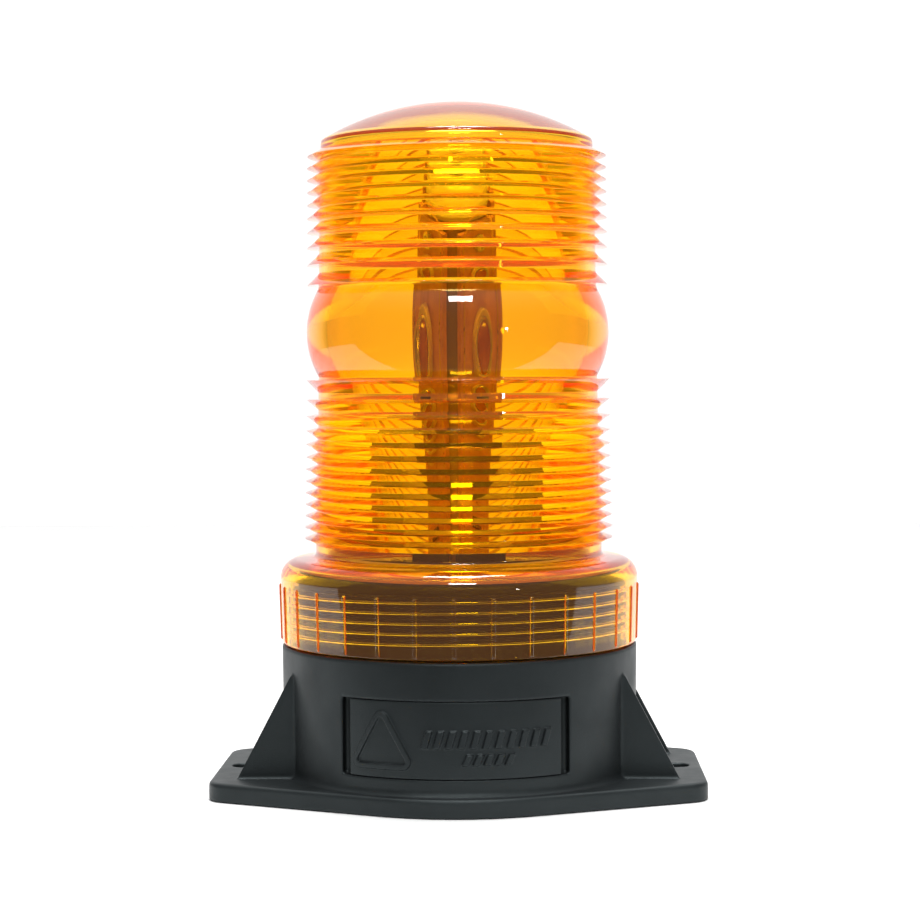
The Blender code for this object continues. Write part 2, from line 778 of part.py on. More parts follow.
def build_tower_core(parent):
    aluminium = make_material("tower_aluminium", (0.6, 0.6, 0.6), 0.35, metallic=1.0)
    builder = bmesh.new()
    outer = chamfered_square(TOWER_HALF, TOWER_CHAMFER)
    bore = chamfered_square(TOWER_BORE, TOWER_BORE * 0.5)
    add_tube_prism(builder, outer, bore, TOWER_BOTTOM, TOWER_TOP)
    core = make_object("tower_core", builder, aluminium, parent)
    holes = bmesh.new()
    for height in screw_heights():
        for face in range(4):
            turn = Matrix.Rotation(face * math.pi / 2, 3, "Z")
            ring = [(1.1 * math.cos(a), height + 1.1 * math.sin(a)) for a in hole_angles()]
            layers = [[turn @ Vector((x, y, z)) for y, z in ring] for x in (4.0, 8.5)]
            add_layers(holes, layers)
    boolean(core, make_helper("core_holes", holes, parent), "DIFFERENCE")

    cap = [
        (1.3, TOWER_TOP + 2.2),
        (8.4, TOWER_TOP + 2.2),
        (9.0, TOWER_TOP + 1.6),
        (9.0, TOWER_TOP + GAP),
        (1.3, TOWER_TOP + GAP),
    ]
    cap_plastic = make_material("cap_plastic", (0.5, 0.5, 0.48), 0.35)
    turned("tower_cap", cap, 24, cap_plastic, parent)
    steel = make_material("cap_screw_steel", (0.75, 0.75, 0.75), 0.25, metallic=1.0)
    screw = make_screw("cap_screw", steel, parent, (2.4, 1.5), (1.0, 6.0), segments=12)
    place(screw, 0.0, 0.0, TOWER_TOP + 2.2 + GAP)


def screw_heights():
    return (EMITTER_HEIGHT + 6.3, BOARD_BOTTOM + 6.0)


def hole_angles():
    return [2.0 * math.pi * (step + 0.5) / 8 for step in range(8)]


def build_led_board(face, parent):
    mask = make_material(f"board_mask_{face + 1}", (0.62, 0.6, 0.56), 0.3)
    inner_face = TOWER_HALF + GAP
    outer_face = inner_face + BOARD_THICKNESS
    half = BOARD_WIDTH / 2
    builder = bmesh.new()
    add_box(builder, (-half, BOARD_BOTTOM, 0.0), (half, BOARD_TOP, BOARD_THICKNESS))
    for vertex in builder.verts:
        x, y, z = vertex.co
        vertex.co = (z + inner_face * MM, x, y)
    board = make_object(f"led_board_{face + 1}", builder, mask, parent)
    board.rotation_euler[2] = face * math.pi / 2
    holes = bmesh.new()
    for height in screw_heights():
        ring = [(1.1 * math.cos(a), height + 1.1 * math.sin(a)) for a in hole_angles()]
        add_layers(holes, [[(x, y, z) for y, z in ring] for x in (inner_face - 1, outer_face + 1)])
    cutter = make_helper(f"board_holes_{face + 1}", holes, parent)
    cutter.rotation_euler[2] = face * math.pi / 2
    boolean(board, cutter, "DIFFERENCE")

    resin = make_material(f"emitter_{face + 1}", (0.9, 0.45, 0.1), 0.08)
    outline = [(0.0, EMITTER_BASE + EMITTER_DOME)]
    outline.extend(arc((0.0, EMITTER_BASE), EMITTER_DOME, math.radians(67.5), 0.0, 3))
    outline.extend([(EMITTER_DOME + 0.4, EMITTER_BASE), (EMITTER_DOME + 0.4, 0.0), (0.0, 0.0)])
    emitter = turned(f"led_{face + 1}", outline, 14, resin, parent)
    place_on_face(emitter, face, outer_face + GAP, 0.0, EMITTER_HEIGHT)

    ceramic = make_material(f"resistor_black_{face + 1}", (0.03, 0.03, 0.03), 0.4)
    block = bmesh.new()
    add_box(block, (-0.8, -1.6, 0.0), (0.8, 1.6, 0.6))
    resistor = make_object(f"resistor_{face + 1}", block, ceramic, parent)
    place_on_face(resistor, face, outer_face + GAP, 0.0, EMITTER_HEIGHT - 16.0)

    steel = make_material(f"led_screw_steel_{face + 1}", (0.75, 0.75, 0.75), 0.25, metallic=1.0)
    for order, height in enumerate(screw_heights()):
        name = f"led_screw_{face * 2 + order + 1}"
        screw = make_screw(name, steel, parent, (1.7, 1.0), (0.8, 3.4))
        place_on_face(screw, face, outer_face + GAP, 0.0, height)


# ---------------------------------------------------------------- electronics


def build_driver(parent):
    mask = make_material("driver_mask", (0.03, 0.16, 0.07), 0.35)
    top = DRIVER_BOTTOM + DRIVER_THICKNESS
    outline = cylinder_outline(DRIVER_RADIUS, DRIVER_BOTTOM, top)
    board = turned("driver_board", outline, 36, mask, parent)
    centres = on_circle(POST_DISTANCE, POST_ANGLES)
    hole = cylinder_outline(1.5, DRIVER_BOTTOM - 1.0, top + 1.0)
    boolean(board, turned_helper("driver_holes", hole, 10, parent, centres), "DIFFERENCE")
    steel = make_material("driver_screw_steel", (0.7, 0.7, 0.7), 0.3, metallic=1.0)
    for index, (x, y) in enumerate(centres):
        screw = make_screw(f"driver_screw_{index + 1}", steel, parent, (2.4, 1.6), (1.2, 8.0))
        place(screw, x, y, top + GAP)

    seat = top + GAP
    sleeve = make_material("capacitor_sleeve", (0.03, 0.03, 0.06), 0.35)
    for name, radius, height, x, y in (
        ("capacitor_large", 5.0, 14.0, 16.0, 12.0),
        ("capacitor_small", 4.0, 11.0, 18.0, -6.0),
    ):
        outline = [
            (0.0, height - 0.4),
            (radius - 0.8, height - 0.4),
            (radius - 0.6, height),
            (radius, height - 0.5),
            (radius, 1.8),
            (radius - 0.4, 1.4),
            (radius, 1.0),
            (radius, 0.0),
            (0.0, 0.0),
        ]
        place(turned(name, outline, 16, sleeve, parent), x, y, seat)

    ferrite = make_material("inductor_copper", (0.55, 0.25, 0.1), 0.35, metallic=0.6)
    ring = arc((6.2, 3.2), 3.0, 2.0 * math.pi * 7 / 8, 0.0, 7)
    place(turned("inductor", ring, 20, ferrite, parent), -2.0, 19.0, seat)

    epoxy = make_material("black_epoxy", (0.02, 0.02, 0.02), 0.4)
    for name, x, y, width, depth, height in (
        ("transistor", 2.0, -20.0, 10.0, 4.6, 14.5),
        ("controller_chip", -16.0, 11.0, 6.0, 5.0, 1.6),
    ):
        block = bmesh.new()
        add_box(block, (-width / 2, -depth / 2, 0.0), (width / 2, depth / 2, height))
        place(make_object(name, block, epoxy, parent), x, y, seat)

    terminal = make_material("terminal_green", (0.05, 0.3, 0.12), 0.4)
    block = bmesh.new()
    add_box(block, (-5.0, -4.0, 0.0), (5.0, 4.0, 9.0))
    supply = make_object("supply_terminal", block, terminal, parent)
    place(supply, -19.0, -14.0, seat)
    mouths = bmesh.new()
    for offset in (-2.5, 2.5):
        add_box(mouths, (offset - 1.4, -5.0, 2.0), (offset + 1.4, -1.0, 5.0))
    mouth_helper = make_helper("terminal_mouths", mouths, parent)
    place(mouth_helper, -19.0, -14.0, seat)
    boolean(supply, mouth_helper, "DIFFERENCE")

    block = bmesh.new()
    add_box(block, (-2.0, -3.4, 0.0), (2.0, 3.4, 4.0))
    white = make_material("header_white", (0.7, 0.68, 0.6), 0.45)
    place(make_object("led_header", block, white, parent), HEADER_X, 0.0, seat)


def smooth_step(share):
    share = min(1.0, max(0.0, share))
    return share * share * (3.0 - 2.0 * share)


def build_leads(parent):
    """Two leads from the header, through the deck, up inside the tower core."""
    start = DRIVER_BOTTOM + DRIVER_THICKNESS + 4.0 + 2 * GAP
    end = TOWER_TOP - 4.0
    for name, colour, side in (
        ("led_lead_plus", (0.6, 0.03, 0.02), 1),
        ("led_lead_minus", (0.02, 0.02, 0.02), -1),
    ):
        curve = bpy.data.curves.new(name, "CURVE")
        curve.dimensions = "3D"
        curve.bevel_depth = LEAD_RADIUS * MM
        curve.bevel_resolution = 2
        curve.use_fill_caps = True
        curve.render_resolution_u = 0
        spline = curve.splines.new("POLY")
        heights = [start + 1.0 * step for step in range(17)] + [54.0, 60.0, 80.0, 100.0, end]
        spline.points.add(len(heights) - 1)
        for point, height in zip(spline.points, heights):
            share = smooth_step((height - start - 1.0) / 13.0)
            x = HEADER_X * (1.0 - share)
            y = side * LEAD_SPACING / 2
            point.co = (x * MM, y * MM, height * MM, 1.0)
        curve.materials.append(make_material(name, colour, 0.45))
        lead = bpy.data.objects.new(name, curve)
        bpy.context.scene.collection.objects.link(lead)
        lead.parent = parent


def build_cover(parent):
    black = make_material("cover_plastic", (0.03, 0.035, 0.038), 0.5)
    outline = [
        (GROMMET_HOLE_RADIUS, COVER_TOP),
        (COVER_RADIUS, COVER_TOP),
        (COVER_RADIUS, COVER_BOTTOM),
        (GROMMET_HOLE_RADIUS, COVER_BOTTOM),
    ]
    cover = turned("bottom_cover", outline, 36, black, parent)
    centres = on_circle(POST_DISTANCE, POST_ANGLES)
    hole = [
        (0.0, COVER_TOP + 1.0),
        (1.5, COVER_TOP + 1.0),
        (1.5, COVER_BOTTOM + COVER_COUNTERBORE_DEPTH),
        (COVER_COUNTERBORE_RADIUS, COVER_BOTTOM + COVER_COUNTERBORE_DEPTH),
        (COVER_COUNTERBORE_RADIUS, COVER_BOTTOM - 1.0),
        (0.0, COVER_BOTTOM - 1.0),
    ]
    boolean(cover, turned_helper("cover_holes", hole, 10, parent, centres), "DIFFERENCE")
    steel = make_material("cover_screw_steel", (0.7, 0.7, 0.7), 0.3, metallic=1.0)
    for index, (x, y) in enumerate(centres):
        screw = make_screw(f"cover_screw_{index + 1}", steel, parent, (2.5, 1.2), (1.2, 9.0))
        head_seat = COVER_BOTTOM + COVER_COUNTERBORE_DEPTH - GAP
        place(screw, x, y, head_seat, flipped=True)

    rubber = make_material("grommet_rubber", (0.02, 0.02, 0.02), 0.6)
    outline = [
        (GROMMET_BORE_RADIUS + 0.4, COVER_TOP + 2.0),
        (GROMMET_LIP_RADIUS - 0.4, COVER_TOP + 2.0),
        (GROMMET_LIP_RADIUS, COVER_TOP + 1.6),
        (GROMMET_LIP_RADIUS, COVER_TOP + GAP),
        (GROMMET_HOLE_RADIUS - GAP, COVER_TOP + GAP),
        (GROMMET_HOLE_RADIUS - GAP, COVER_BOTTOM),
        (GROMMET_BORE_RADIUS, COVER_BOTTOM),
        (GROMMET_BORE_RADIUS, COVER_TOP + 1.6),
    ]
    turned("cable_grommet", outline, 20, rubber, parent)


def main():
    clear_scene()
    base = make_empty("base_frame")
    lens_axis = make_empty("lens_axis", parent=base)
    tower = make_empty("tower_frame", turn=TOWER_TURN, parent=base)
    build_base_housing(base)
    build_label_insert(base)
    build_cover(base)
    build_driver(base)
    build_leads(base)
    build_tower_foot(tower)
    build_deck_reflector(base)
    build_tower_core(tower)
    for face in range(4):
        build_led_board(face, tower)
    build_gasket(lens_axis)
    build_lens(lens_axis)


main()
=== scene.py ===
"""Looks of the amber beacon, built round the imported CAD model.

Dimensions are in millimetres, but for the stage and light, and MM turns them into metres
where vertices are made.
"""

import math

import bmesh
import bpy
from mathutils import Matrix, Vector


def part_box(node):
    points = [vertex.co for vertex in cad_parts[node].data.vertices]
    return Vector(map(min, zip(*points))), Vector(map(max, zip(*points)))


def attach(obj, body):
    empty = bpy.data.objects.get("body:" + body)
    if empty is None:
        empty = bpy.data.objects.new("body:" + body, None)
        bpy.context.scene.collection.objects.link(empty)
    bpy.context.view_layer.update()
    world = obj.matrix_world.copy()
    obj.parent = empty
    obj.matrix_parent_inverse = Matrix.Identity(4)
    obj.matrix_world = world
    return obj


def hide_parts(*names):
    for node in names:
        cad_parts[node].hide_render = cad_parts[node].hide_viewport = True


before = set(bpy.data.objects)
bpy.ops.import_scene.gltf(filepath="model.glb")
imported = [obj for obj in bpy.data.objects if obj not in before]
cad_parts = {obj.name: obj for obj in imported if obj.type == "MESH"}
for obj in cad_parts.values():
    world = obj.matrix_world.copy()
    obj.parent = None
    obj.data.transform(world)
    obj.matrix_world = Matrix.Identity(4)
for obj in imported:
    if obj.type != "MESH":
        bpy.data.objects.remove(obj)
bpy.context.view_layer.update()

MM = 0.001
SHARP_ANGLE = math.radians(30.0)
LEAST_RADIUS = 1e-6

# Camera: where the photographer stood, in the object's frame
EYE_HEIGHT = 100.6
EYE_DISTANCE = 548.3
EYE_TURN = math.radians(1.64)
FOCAL_LENGTH = 89.0
SENSOR = 36.0
CAMERA_ROLL = math.radians(0.34)
SHIFT_ACROSS = 0.0024
SHIFT_DOWN = 0.1023

# Lens
TOTAL_HEIGHT = 164.0
LENS_SEGMENTS = 256
LENS_BOTTOM = 34.9
COLLAR_RADIUS_LOW = 42.5
COLLAR_RADIUS_HIGH = 42.9
SHOULDER_RADIUS = 4.6
ROOF_TOP = 55.1
SHOULDER_UNDERSIDE = 52.4
NECK_BAND_RADIUS = 34.4
COLLAR_BORE_RADIUS = 40.2
LENS_BORE_LOW = 31.7
LENS_BORE_HIGH = 31.2
LENS_BORE_START = 60.0
BORE_FILLET = 1.0
DOME_CORNER = 1.0
COLLAR_WALL_TOP = 46.0
COLLAR_ROUNDING = 0.35
SHOULDER_DROP = 0.3
NECK_FILLET = 1.2
NECK_BAND_DROP = 1.4
BULLSEYE_CENTRE = 108.65
BULLSEYE_HALF_HEIGHT = 10.6
BULLSEYE_BULGE = 2.85
FIRST_TIP_OFFSET = 11.25
UPPER_TEETH = 10
UPPER_PITCH = 2.75
UPPER_EXTRA_PITCH = 2.05
UPPER_PITCH_FADE = 2.6
LOWER_TEETH = 13
LOWER_PITCH = 2.68
LOWER_EXTRA_PITCH = 1.95
LOWER_PITCH_FADE = 2.4
TIP_RADIUS_TOP = 36.0
TIP_RADIUS_BOTTOM = 37.0
TOOTH_DEPTH = 2.95
FACET_HEIGHT = 3.0
FACET_SHRINK = 0.15
FACET_FADE = 3.0
LEAST_LAND = 0.1
RISER_DROP = 0.12
RISER_RISE = 1.1
RISER_STEP = 0.28
TOOTH_ROUNDING = 0.08
RIM_RADIUS = 32.8
RIM_BOTTOM = 152.5
RIM_ROUNDING = 1.1
DOME_RADIUS = 62.7
DOME_WALL = 1.9
DOME_INNER_RADIUS = 63.8
RIB_COUNT = 30
RIB_WIDTH = 1.0
RIB_HEIGHT = 0.42
RIB_BOTTOM = 35.3
RIB_TOP = 48.8
RIB_END_SIZE = 0.3
RIB_SINK = 0.5
RIB_CROWN_SINK = 0.05

# Screw thread
THREAD_PITCH = 2.35
NECK_ROOT_RADIUS = 38.6
NECK_CREST_RADIUS = 39.8
COLLAR_CREST_RADIUS = 39.0
THREAD_BASE_WIDTH = 1.0
THREAD_START = 37.6
THREAD_TURNS = 5.2
THREAD_SINK = 0.35
THREAD_STEPS = 96
THREAD_FADE_STEPS = 14.0
THREAD_END_HEIGHT = 0.2
THREAD_FLANK = 1.75
COLLAR_EXTRA_TURNS = 0.2

# Base
BASE_SEGMENTS = 256
FLANGE_THICKNESS = 4.4
FLANGE_EDGE = 0.9
FLANGE_FOOT_INSET = 0.25
FLANGE_FOOT_RISE = 0.3
EAR_REACH = 58.0
EAR_HALF_WIDTH = 25.5
EAR_CORNER_RADIUS = 6.0
FLANGE_ROUND_RADIUS = 44.5
SLOT_CENTRE = 51.0
SLOT_LENGTH = 8.0
SLOT_WIDTH = 5.4
BODY_RADIUS_LOW = 42.2
BODY_RADIUS_HIGH = 42.5
BODY_TOP = 34.4
BODY_EDGE = 0.4
BODY_FLOOR = 0.2
FOOT_FILLET = 1.2
FOOT_FILLET_MIDDLE = 0.35
FOOT_FILLET_SINK = 0.1
CAVITY_RADIUS = 39.3
CAVITY_NECK_RADIUS = 36.0
CAVITY_STEP_TOP = 1.5
CAVITY_STEP_BOTTOM = 3.0
DECK_UNDERSIDE = 48.1
DECK_TOP = 50.6
DECK_HOLE_RADIUS = 5.0
GUSSET_OFFSET = 17.0
GUSSET_THICKNESS = 3.0
GUSSET_FOOT_REACH = 51.4
GUSSET_TOP_REACH = 38.6
GUSSET_TOP = 28.4
GUSSET_INNER_REACH = 36.0
GUSSET_SINK = 1.5
GUSSET_EDGE = 0.4
CUT_PAST = 1.0
HOUSING_VOXEL = 0.34
HOUSING_FACES_KEPT = 0.4

# Label panel
PANEL_HALF_ANGLE = math.radians(37.6)
PANEL_BOTTOM = 8.3
PANEL_TOP = 25.8
PANEL_FLOOR_RADIUS = 40.6
PANEL_FACE_RADIUS = 42.25
PANEL_RELIEF_RADIUS = 42.95
PANEL_END_SLOT = 2.4
POCKET_OUTER_PAST = 2.0
LABEL_GAP = 0.12
LABEL_BACK_GAP = 0.3
LABEL_VOXEL = 0.18
RELIEF_SINK = 0.5
BADGE_SIZE = 6.0
BADGE_OUTER_CORNER = 1.9
BADGE_INNER_CORNER = 0.75
BADGE_LONG_SIDE = 2.0
BAR_WIDTH = 1.45
BAR_SLANT = 1.1

# Boards and emitters on the tower
BOARD_FACE = 9.1
EMITTER_SEAT = 9.4
EMITTER_DOME_RADIUS = 2.15
TRACK_LIFT = 0.09
TRACK_SINK = 0.05
TRACK_WIDTH = 0.4
ARCH_HALF_WIDTH = 5.2
ARCH_DROP = 10.5
ARCH_RISE = 12.0
ARCH_CORNER = 0.5
PAD_CORNER = 0.12

# Painted light and shade: a faint glow in the amber, and darkening in the label pocket
PAINTED_GLOW = 0.02
PAINTED_POCKET_SHADE = 0.12
POCKET_SKIN = 0.2
POCKET_CEILING = 1.0
POCKET_CEILING_BLEND = 0.5

# Stage and light, in metres
TABLE_HALF_WIDTH = 0.6
TABLE_FRONT = -0.09
TABLE_BACK = 0.9
TABLE_HEIGHT = -0.00005
LIGHT_TARGET = (0.0, 0.0, 0.09)
LIGHT_DISTANCE = 1.2

# Light paths, long enough for the many walls of the lens
BOUNCES = 40
GLOSSY_BOUNCES = 20


# ---------------------------------------------------------------- mesh helpers


def add_turned(builder, outline, segments):
    """Spin a closed (radius, z) outline about a vertical axis."""
    rings = []
    for radius, height in outline:
        if radius < LEAST_RADIUS:
            rings.append([builder.verts.new((0.0, 0.0, height * MM))])
            continue
        ring = []
        for step in range(segments):
            angle = 2.0 * math.pi * step / segments
            x = radius * math.cos(angle)
            y = radius * math.sin(angle)
            ring.append(builder.verts.new((x * MM, y * MM, height * MM)))
        rings.append(ring)
    for index, lower in enumerate(rings):
        upper = rings[(index + 1) % len(rings)]
        if len(lower) == 1 and len(upper) == 1:
            continue
        for step in range(segments):
            following = (step + 1) % segments
            if len(lower) == 1:
                builder.faces.new((lower[0], upper[step], upper[following]))
            elif len(upper) == 1:
                builder.faces.new((lower[step], lower[following], upper[0]))
            else:
                corners = (lower[step], lower[following], upper[following], upper[step])
                builder.faces.new(corners)


def add_layers(builder, layers, closed_ends=True):
    """Skin a stack of closed loops, each a list of (x, y, z) with the same count."""
    loops = [[builder.verts.new(Vector(point) * MM) for point in layer] for layer in layers]
    count = len(loops[0])
    for lower, upper in zip(loops, loops[1:]):
        for step in range(count):
            following = (step + 1) % count
            builder.faces.new((lower[step], lower[following], upper[following], upper[step]))
    if closed_ends:
        builder.faces.new(list(reversed(loops[0])))
        builder.faces.new(loops[-1])
    return loops


def close_ring(builder, loops):
    """Join the last loop of a skin back to the first, for a frame with a hole."""
    count = len(loops[0])
    for step in range(count):
        following = (step + 1) % count
        first, last = loops[0], loops[-1]
        builder.faces.new((last[step], last[following], first[following], first[step]))


def new_object(name, builder, material=None):
    """Turn a bmesh into a linked object, smooth but for edges sharper than SHARP_ANGLE."""
    bmesh.ops.recalc_face_normals(builder, faces=builder.faces)
    mesh = bpy.data.meshes.new(name)
    builder.to_mesh(mesh)
    builder.free()
    mesh.shade_smooth()
    mesh.set_sharp_from_angle(angle=SHARP_ANGLE)
    if material:
        mesh.materials.append(material)
    item = bpy.data.objects.new(name, mesh)
    bpy.context.scene.collection.objects.link(item)
    return item


def apply_modifiers(item):
    """Replace an object's mesh by its evaluated one."""
    depsgraph = bpy.context.evaluated_depsgraph_get()
    mesh = bpy.data.meshes.new_from_object(item.evaluated_get(depsgraph))
    item.modifiers.clear()
    item.data = mesh
    mesh.shade_smooth()


def boolean(target, helper, operation):
    """Combine a helper shape with an object, then remove the helper."""
    modifier = target.modifiers.new(helper.name, "BOOLEAN")
    modifier.solver = "EXACT"
    modifier.operation = operation
    modifier.object = helper
    apply_modifiers(target)
    bpy.data.objects.remove(helper, do_unlink=True)


def arc(centre, radius, start, end, steps):
    """Points along a circle's arc, both ends included."""
    points = []
    for step in range(steps + 1):
        angle = start + (end - start) * step / steps
        x = centre[0] + radius * math.cos(angle)
        y = centre[1] + radius * math.sin(angle)
        points.append((x, y))
    return points


def rounded(points, radius, steps):
    """Round the corners of an outline that turn by more than 15 degrees."""
    result = []
    count = len(points)
    for index, (x, y) in enumerate(points):
        corner = Vector((x, y))
        if x < LEAST_RADIUS:
            result.append((x, y))
            continue
        before = Vector(points[index - 1]) - corner
        after = Vector(points[(index + 1) % count]) - corner
        turn = math.pi - before.angle(after)
        if turn < math.radians(15.0):
            result.append((x, y))
            continue
        reach_before = min(radius, before.length * 0.4)
        reach_after = min(radius, after.length * 0.4)
        start = corner + before.normalized() * reach_before
        end = corner + after.normalized() * reach_after
        for step in range(steps + 1):
            share = step / steps
            point = start.lerp(corner, share).lerp(corner.lerp(end, share), share)
            result.append((point.x, point.y))
    return result


def wrap_on_body(across, height, radius):
    """Place a point of the flat label panel on a cylinder, facing -Y."""
    angle = across / PANEL_FACE_RADIUS
    return (radius * math.sin(angle), -radius * math.cos(angle), height)


# ---------------------------------------------------------------- material helpers


class Nodes:
    """Short names for building one material's node tree."""

    def __init__(self, name):
        self.material = bpy.data.materials.new(name)
        self.material.use_nodes = True
        self.tree = self.material.node_tree
        self.shader = self.tree.nodes["Principled BSDF"]
        self.output = self.tree.nodes["Material Output"]
        self.coords = self.tree.nodes.new("ShaderNodeTexCoord").outputs["Object"]

    def add(self, kind, inputs=None, **settings):
        """Add a node. An input is linked where it is a socket, and set where it is a value."""
        node = self.tree.nodes.new(kind)
        for key, value in settings.items():
            setattr(node, key, value)
        for key, value in (inputs or {}).items():
            if isinstance(value, bpy.types.NodeSocket):
                self.tree.links.new(value, node.inputs[key])
            else:
                node.inputs[key].default_value = value
        return node

    def link(self, source, target):
        self.tree.links.new(source, target)

    def scaled(self, scale):
        """Object coordinates stretched by a scale per axis."""
        return self.add("ShaderNodeMapping", {"Vector": self.coords, "Scale": scale}).outputs[0]

    def noise(self, scale, detail=3.0, roughness=0.5, vector=None):
        """A noise texture's value."""
        node = self.add(
            "ShaderNodeTexNoise",
            {
                "Vector": vector or self.coords,
                "Scale": scale,
                "Detail": detail,
                "Roughness": roughness,
            },
        )
        return node.outputs["Fac"]

    def spread(self, value, low, high, from_low=0.3, from_high=0.7):
        """Map a noise value to a range."""
        node = self.add(
            "ShaderNodeMapRange",
            {
                "Value": value,
                "From Min": from_low,
                "From Max": from_high,
                "To Min": low,
                "To Max": high,
            },
        )
        return node.outputs["Result"]

    def blend_colours(self, factor, first, second):
        node = self.add("ShaderNodeMix", data_type="RGBA")
        self.link(factor, node.inputs[0])
        node.inputs[6].default_value = (*first, 1.0)
        node.inputs[7].default_value = (*second, 1.0)
        return node.outputs[2]

    def bump(self, height, strength, distance, normal=None):
        inputs = {"Height": height, "Strength": strength, "Distance": distance}
        if normal:
            inputs["Normal"] = normal
        return self.add("ShaderNodeBump", inputs).outputs["Normal"]

    def set(self, **values):
        """Set or link inputs of the Principled BSDF by name."""
        for key, value in values.items():
            socket = self.shader.inputs[key.replace("_", " ")]
            if isinstance(value, bpy.types.NodeSocket):
                self.link(value, socket)
            else:
                socket.default_value = value


# ---------------------------------------------------------------- materials


def amber_polycarbonate():
    """Clear amber: thin edges look nearly colourless and thick ones deep orange, with a faint
    painted glow.
    """
    nodes = Nodes("amber_polycarbonate_look")
    haze = nodes.spread(nodes.noise(90.0, 3.0), 0.012, 0.035)
    flow = nodes.noise(34.0, 2.0, vector=nodes.scaled((1.0, 1.0, 0.45)))
    nodes.set(
        Base_Color=(1.0, 0.79, 0.3, 1.0),
        Roughness=haze,
        IOR=1.585,
        Transmission_Weight=0.993,
        Normal=nodes.bump(flow, 0.1, 0.0004),
        # Painted light: the emission gives the unlit lens a faint orange glow.
        Emission_Color=(1.0, 0.24, 0.02, 1.0),
        Emission_Strength=PAINTED_GLOW,
    )
    absorption = nodes.add(
        "ShaderNodeVolumeAbsorption", {"Color": (1.0, 0.938, 0.14, 1.0), "Density": 700.0}
    )
    nodes.link(absorption.outputs[0], nodes.output.inputs["Volume"])
    return nodes.material


def painted_pocket_shade_mask(nodes):
    """Mask for painted shade: 0 on the floor and walls of the label pocket, 1 on the rest of the
    base.
    """
    flat = nodes.add(
        "ShaderNodeVectorMath", {0: nodes.coords, 1: (1.0, 1.0, 0.0)}, operation="MULTIPLY"
    )
    radius = nodes.add("ShaderNodeVectorMath", {0: flat.outputs[0]}, operation="LENGTH")
    edge = (PANEL_FACE_RADIUS - POCKET_SKIN) * MM
    near_skin = nodes.spread(radius.outputs["Value"], 0.0, 1.0, edge - POCKET_SKIN * MM, edge)
    height = nodes.add("ShaderNodeSeparateXYZ", {0: nodes.coords}).outputs["Z"]
    ceiling = PANEL_TOP + POCKET_CEILING
    blend_end = ceiling + POCKET_CEILING_BLEND
    above = nodes.spread(height, 0.0, 1.0, ceiling * MM, blend_end * MM)
    depth = nodes.add("ShaderNodeMath", {0: near_skin, 1: above}, operation="MAXIMUM")
    return depth.outputs[0]


def moulded_black(name, rougher=0.0):
    """Satin black moulding with a fine spark-eroded texture and handling marks, and painted
    shade in the label pocket.
    """
    nodes = Nodes(name)
    cloud = nodes.noise(55.0, 4.0)
    colour = nodes.blend_colours(
        nodes.spread(cloud, 0.0, 1.0, 0.35, 0.65),
        (0.007, 0.0084, 0.0092),
        (0.0108, 0.013, 0.0142),
    )
    # Painted shade: the colour is darkened on the floor and walls of the label pocket, where
    # little light reaches.
    depth = painted_pocket_shade_mask(nodes)
    shade = nodes.add(
        "ShaderNodeMapRange", {"Value": depth, "To Min": PAINTED_POCKET_SHADE, "To Max": 1.0}
    ).outputs["Result"]
    shaded = nodes.add("ShaderNodeVectorMath", {0: colour, 1: shade}, operation="MULTIPLY")
    grain = nodes.noise(2600.0, 2.0, 0.6)
    wave = nodes.noise(320.0, 3.0)
    fine = nodes.bump(grain, 0.22, 0.00012)
    nodes.set(
        Base_Color=shaded.outputs[0],
        Roughness=nodes.spread(nodes.noise(120.0, 3.0), 0.44 + rougher, 0.56 + rougher),
        Normal=nodes.bump(wave, 0.08, 0.0003, fine),
        Specular_IOR_Level=0.46,
        Specular_Tint=(0.84, 0.98, 1.0, 1.0),
    )
    return nodes.material


def brushed_metal(name, colour, roughness, scale):
    """Metal with fine scratches along one direction."""
    nodes = Nodes(name)
    lines = nodes.noise(900.0, 4.0, 0.6, nodes.scaled(scale))
    tone = tuple(channel * 0.82 for channel in colour)
    nodes.set(
        Base_Color=nodes.blend_colours(nodes.spread(lines, 0.0, 1.0), tone, colour),
        Metallic=1.0,
        Roughness=nodes.spread(lines, roughness - 0.08, roughness + 0.1),
        Normal=nodes.bump(lines, 0.15, 0.00006),
    )
    return nodes.material


def solder_mask(name, colour, dark):
    """Solder mask with a weave just showing and slight gloss changes."""
    nodes = Nodes(name)
    weave = nodes.add(
        "ShaderNodeTexWave",
        {"Vector": nodes.coords, "Scale": 1400.0, "Distortion": 2.0},
    ).outputs["Fac"]
    cloud = nodes.noise(400.0, 3.0)
    nodes.set(
        Base_Color=nodes.blend_colours(nodes.spread(cloud, 0.0, 1.0), dark, colour),
        Roughness=nodes.spread(nodes.noise(700.0, 2.0), 0.25, 0.4),
        Normal=nodes.bump(weave, 0.06, 0.00005),
    )
    return nodes.material


def mottled(name, colour, dark, roughness, scale=500.0, metallic=0.0, transmission=0.0):
    """Plain material with small changes in tone, gloss and surface."""
    nodes = Nodes(name)
    cloud = nodes.noise(scale, 3.0)
    grain = nodes.noise(scale * 5.0, 2.0)
    nodes.set(
        Base_Color=nodes.blend_colours(nodes.spread(cloud, 0.0, 1.0), dark, colour),
        Roughness=nodes.spread(grain, max(0.02, roughness - 0.06), roughness + 0.08),
        Metallic=metallic,
        Transmission_Weight=transmission,
        IOR=1.5,
        Normal=nodes.bump(grain, 0.1, 0.00005),
    )
    return nodes.material


# ---------------------------------------------------------------- lens


def fresnel_tips():
    """Tooth heights above and below the bullseye. The pitch shrinks away from it."""
    upper = [BULLSEYE_CENTRE + FIRST_TIP_OFFSET]
    for index in range(UPPER_TEETH - 1):
        extra = UPPER_EXTRA_PITCH * math.exp(-index / UPPER_PITCH_FADE)
        upper.append(upper[-1] + UPPER_PITCH + extra)
    lower = [BULLSEYE_CENTRE - FIRST_TIP_OFFSET]
    for index in range(LOWER_TEETH - 1):
        extra = LOWER_EXTRA_PITCH * math.exp(-index / LOWER_PITCH_FADE)
        lower.append(lower[-1] - LOWER_PITCH - extra)
    return upper, lower


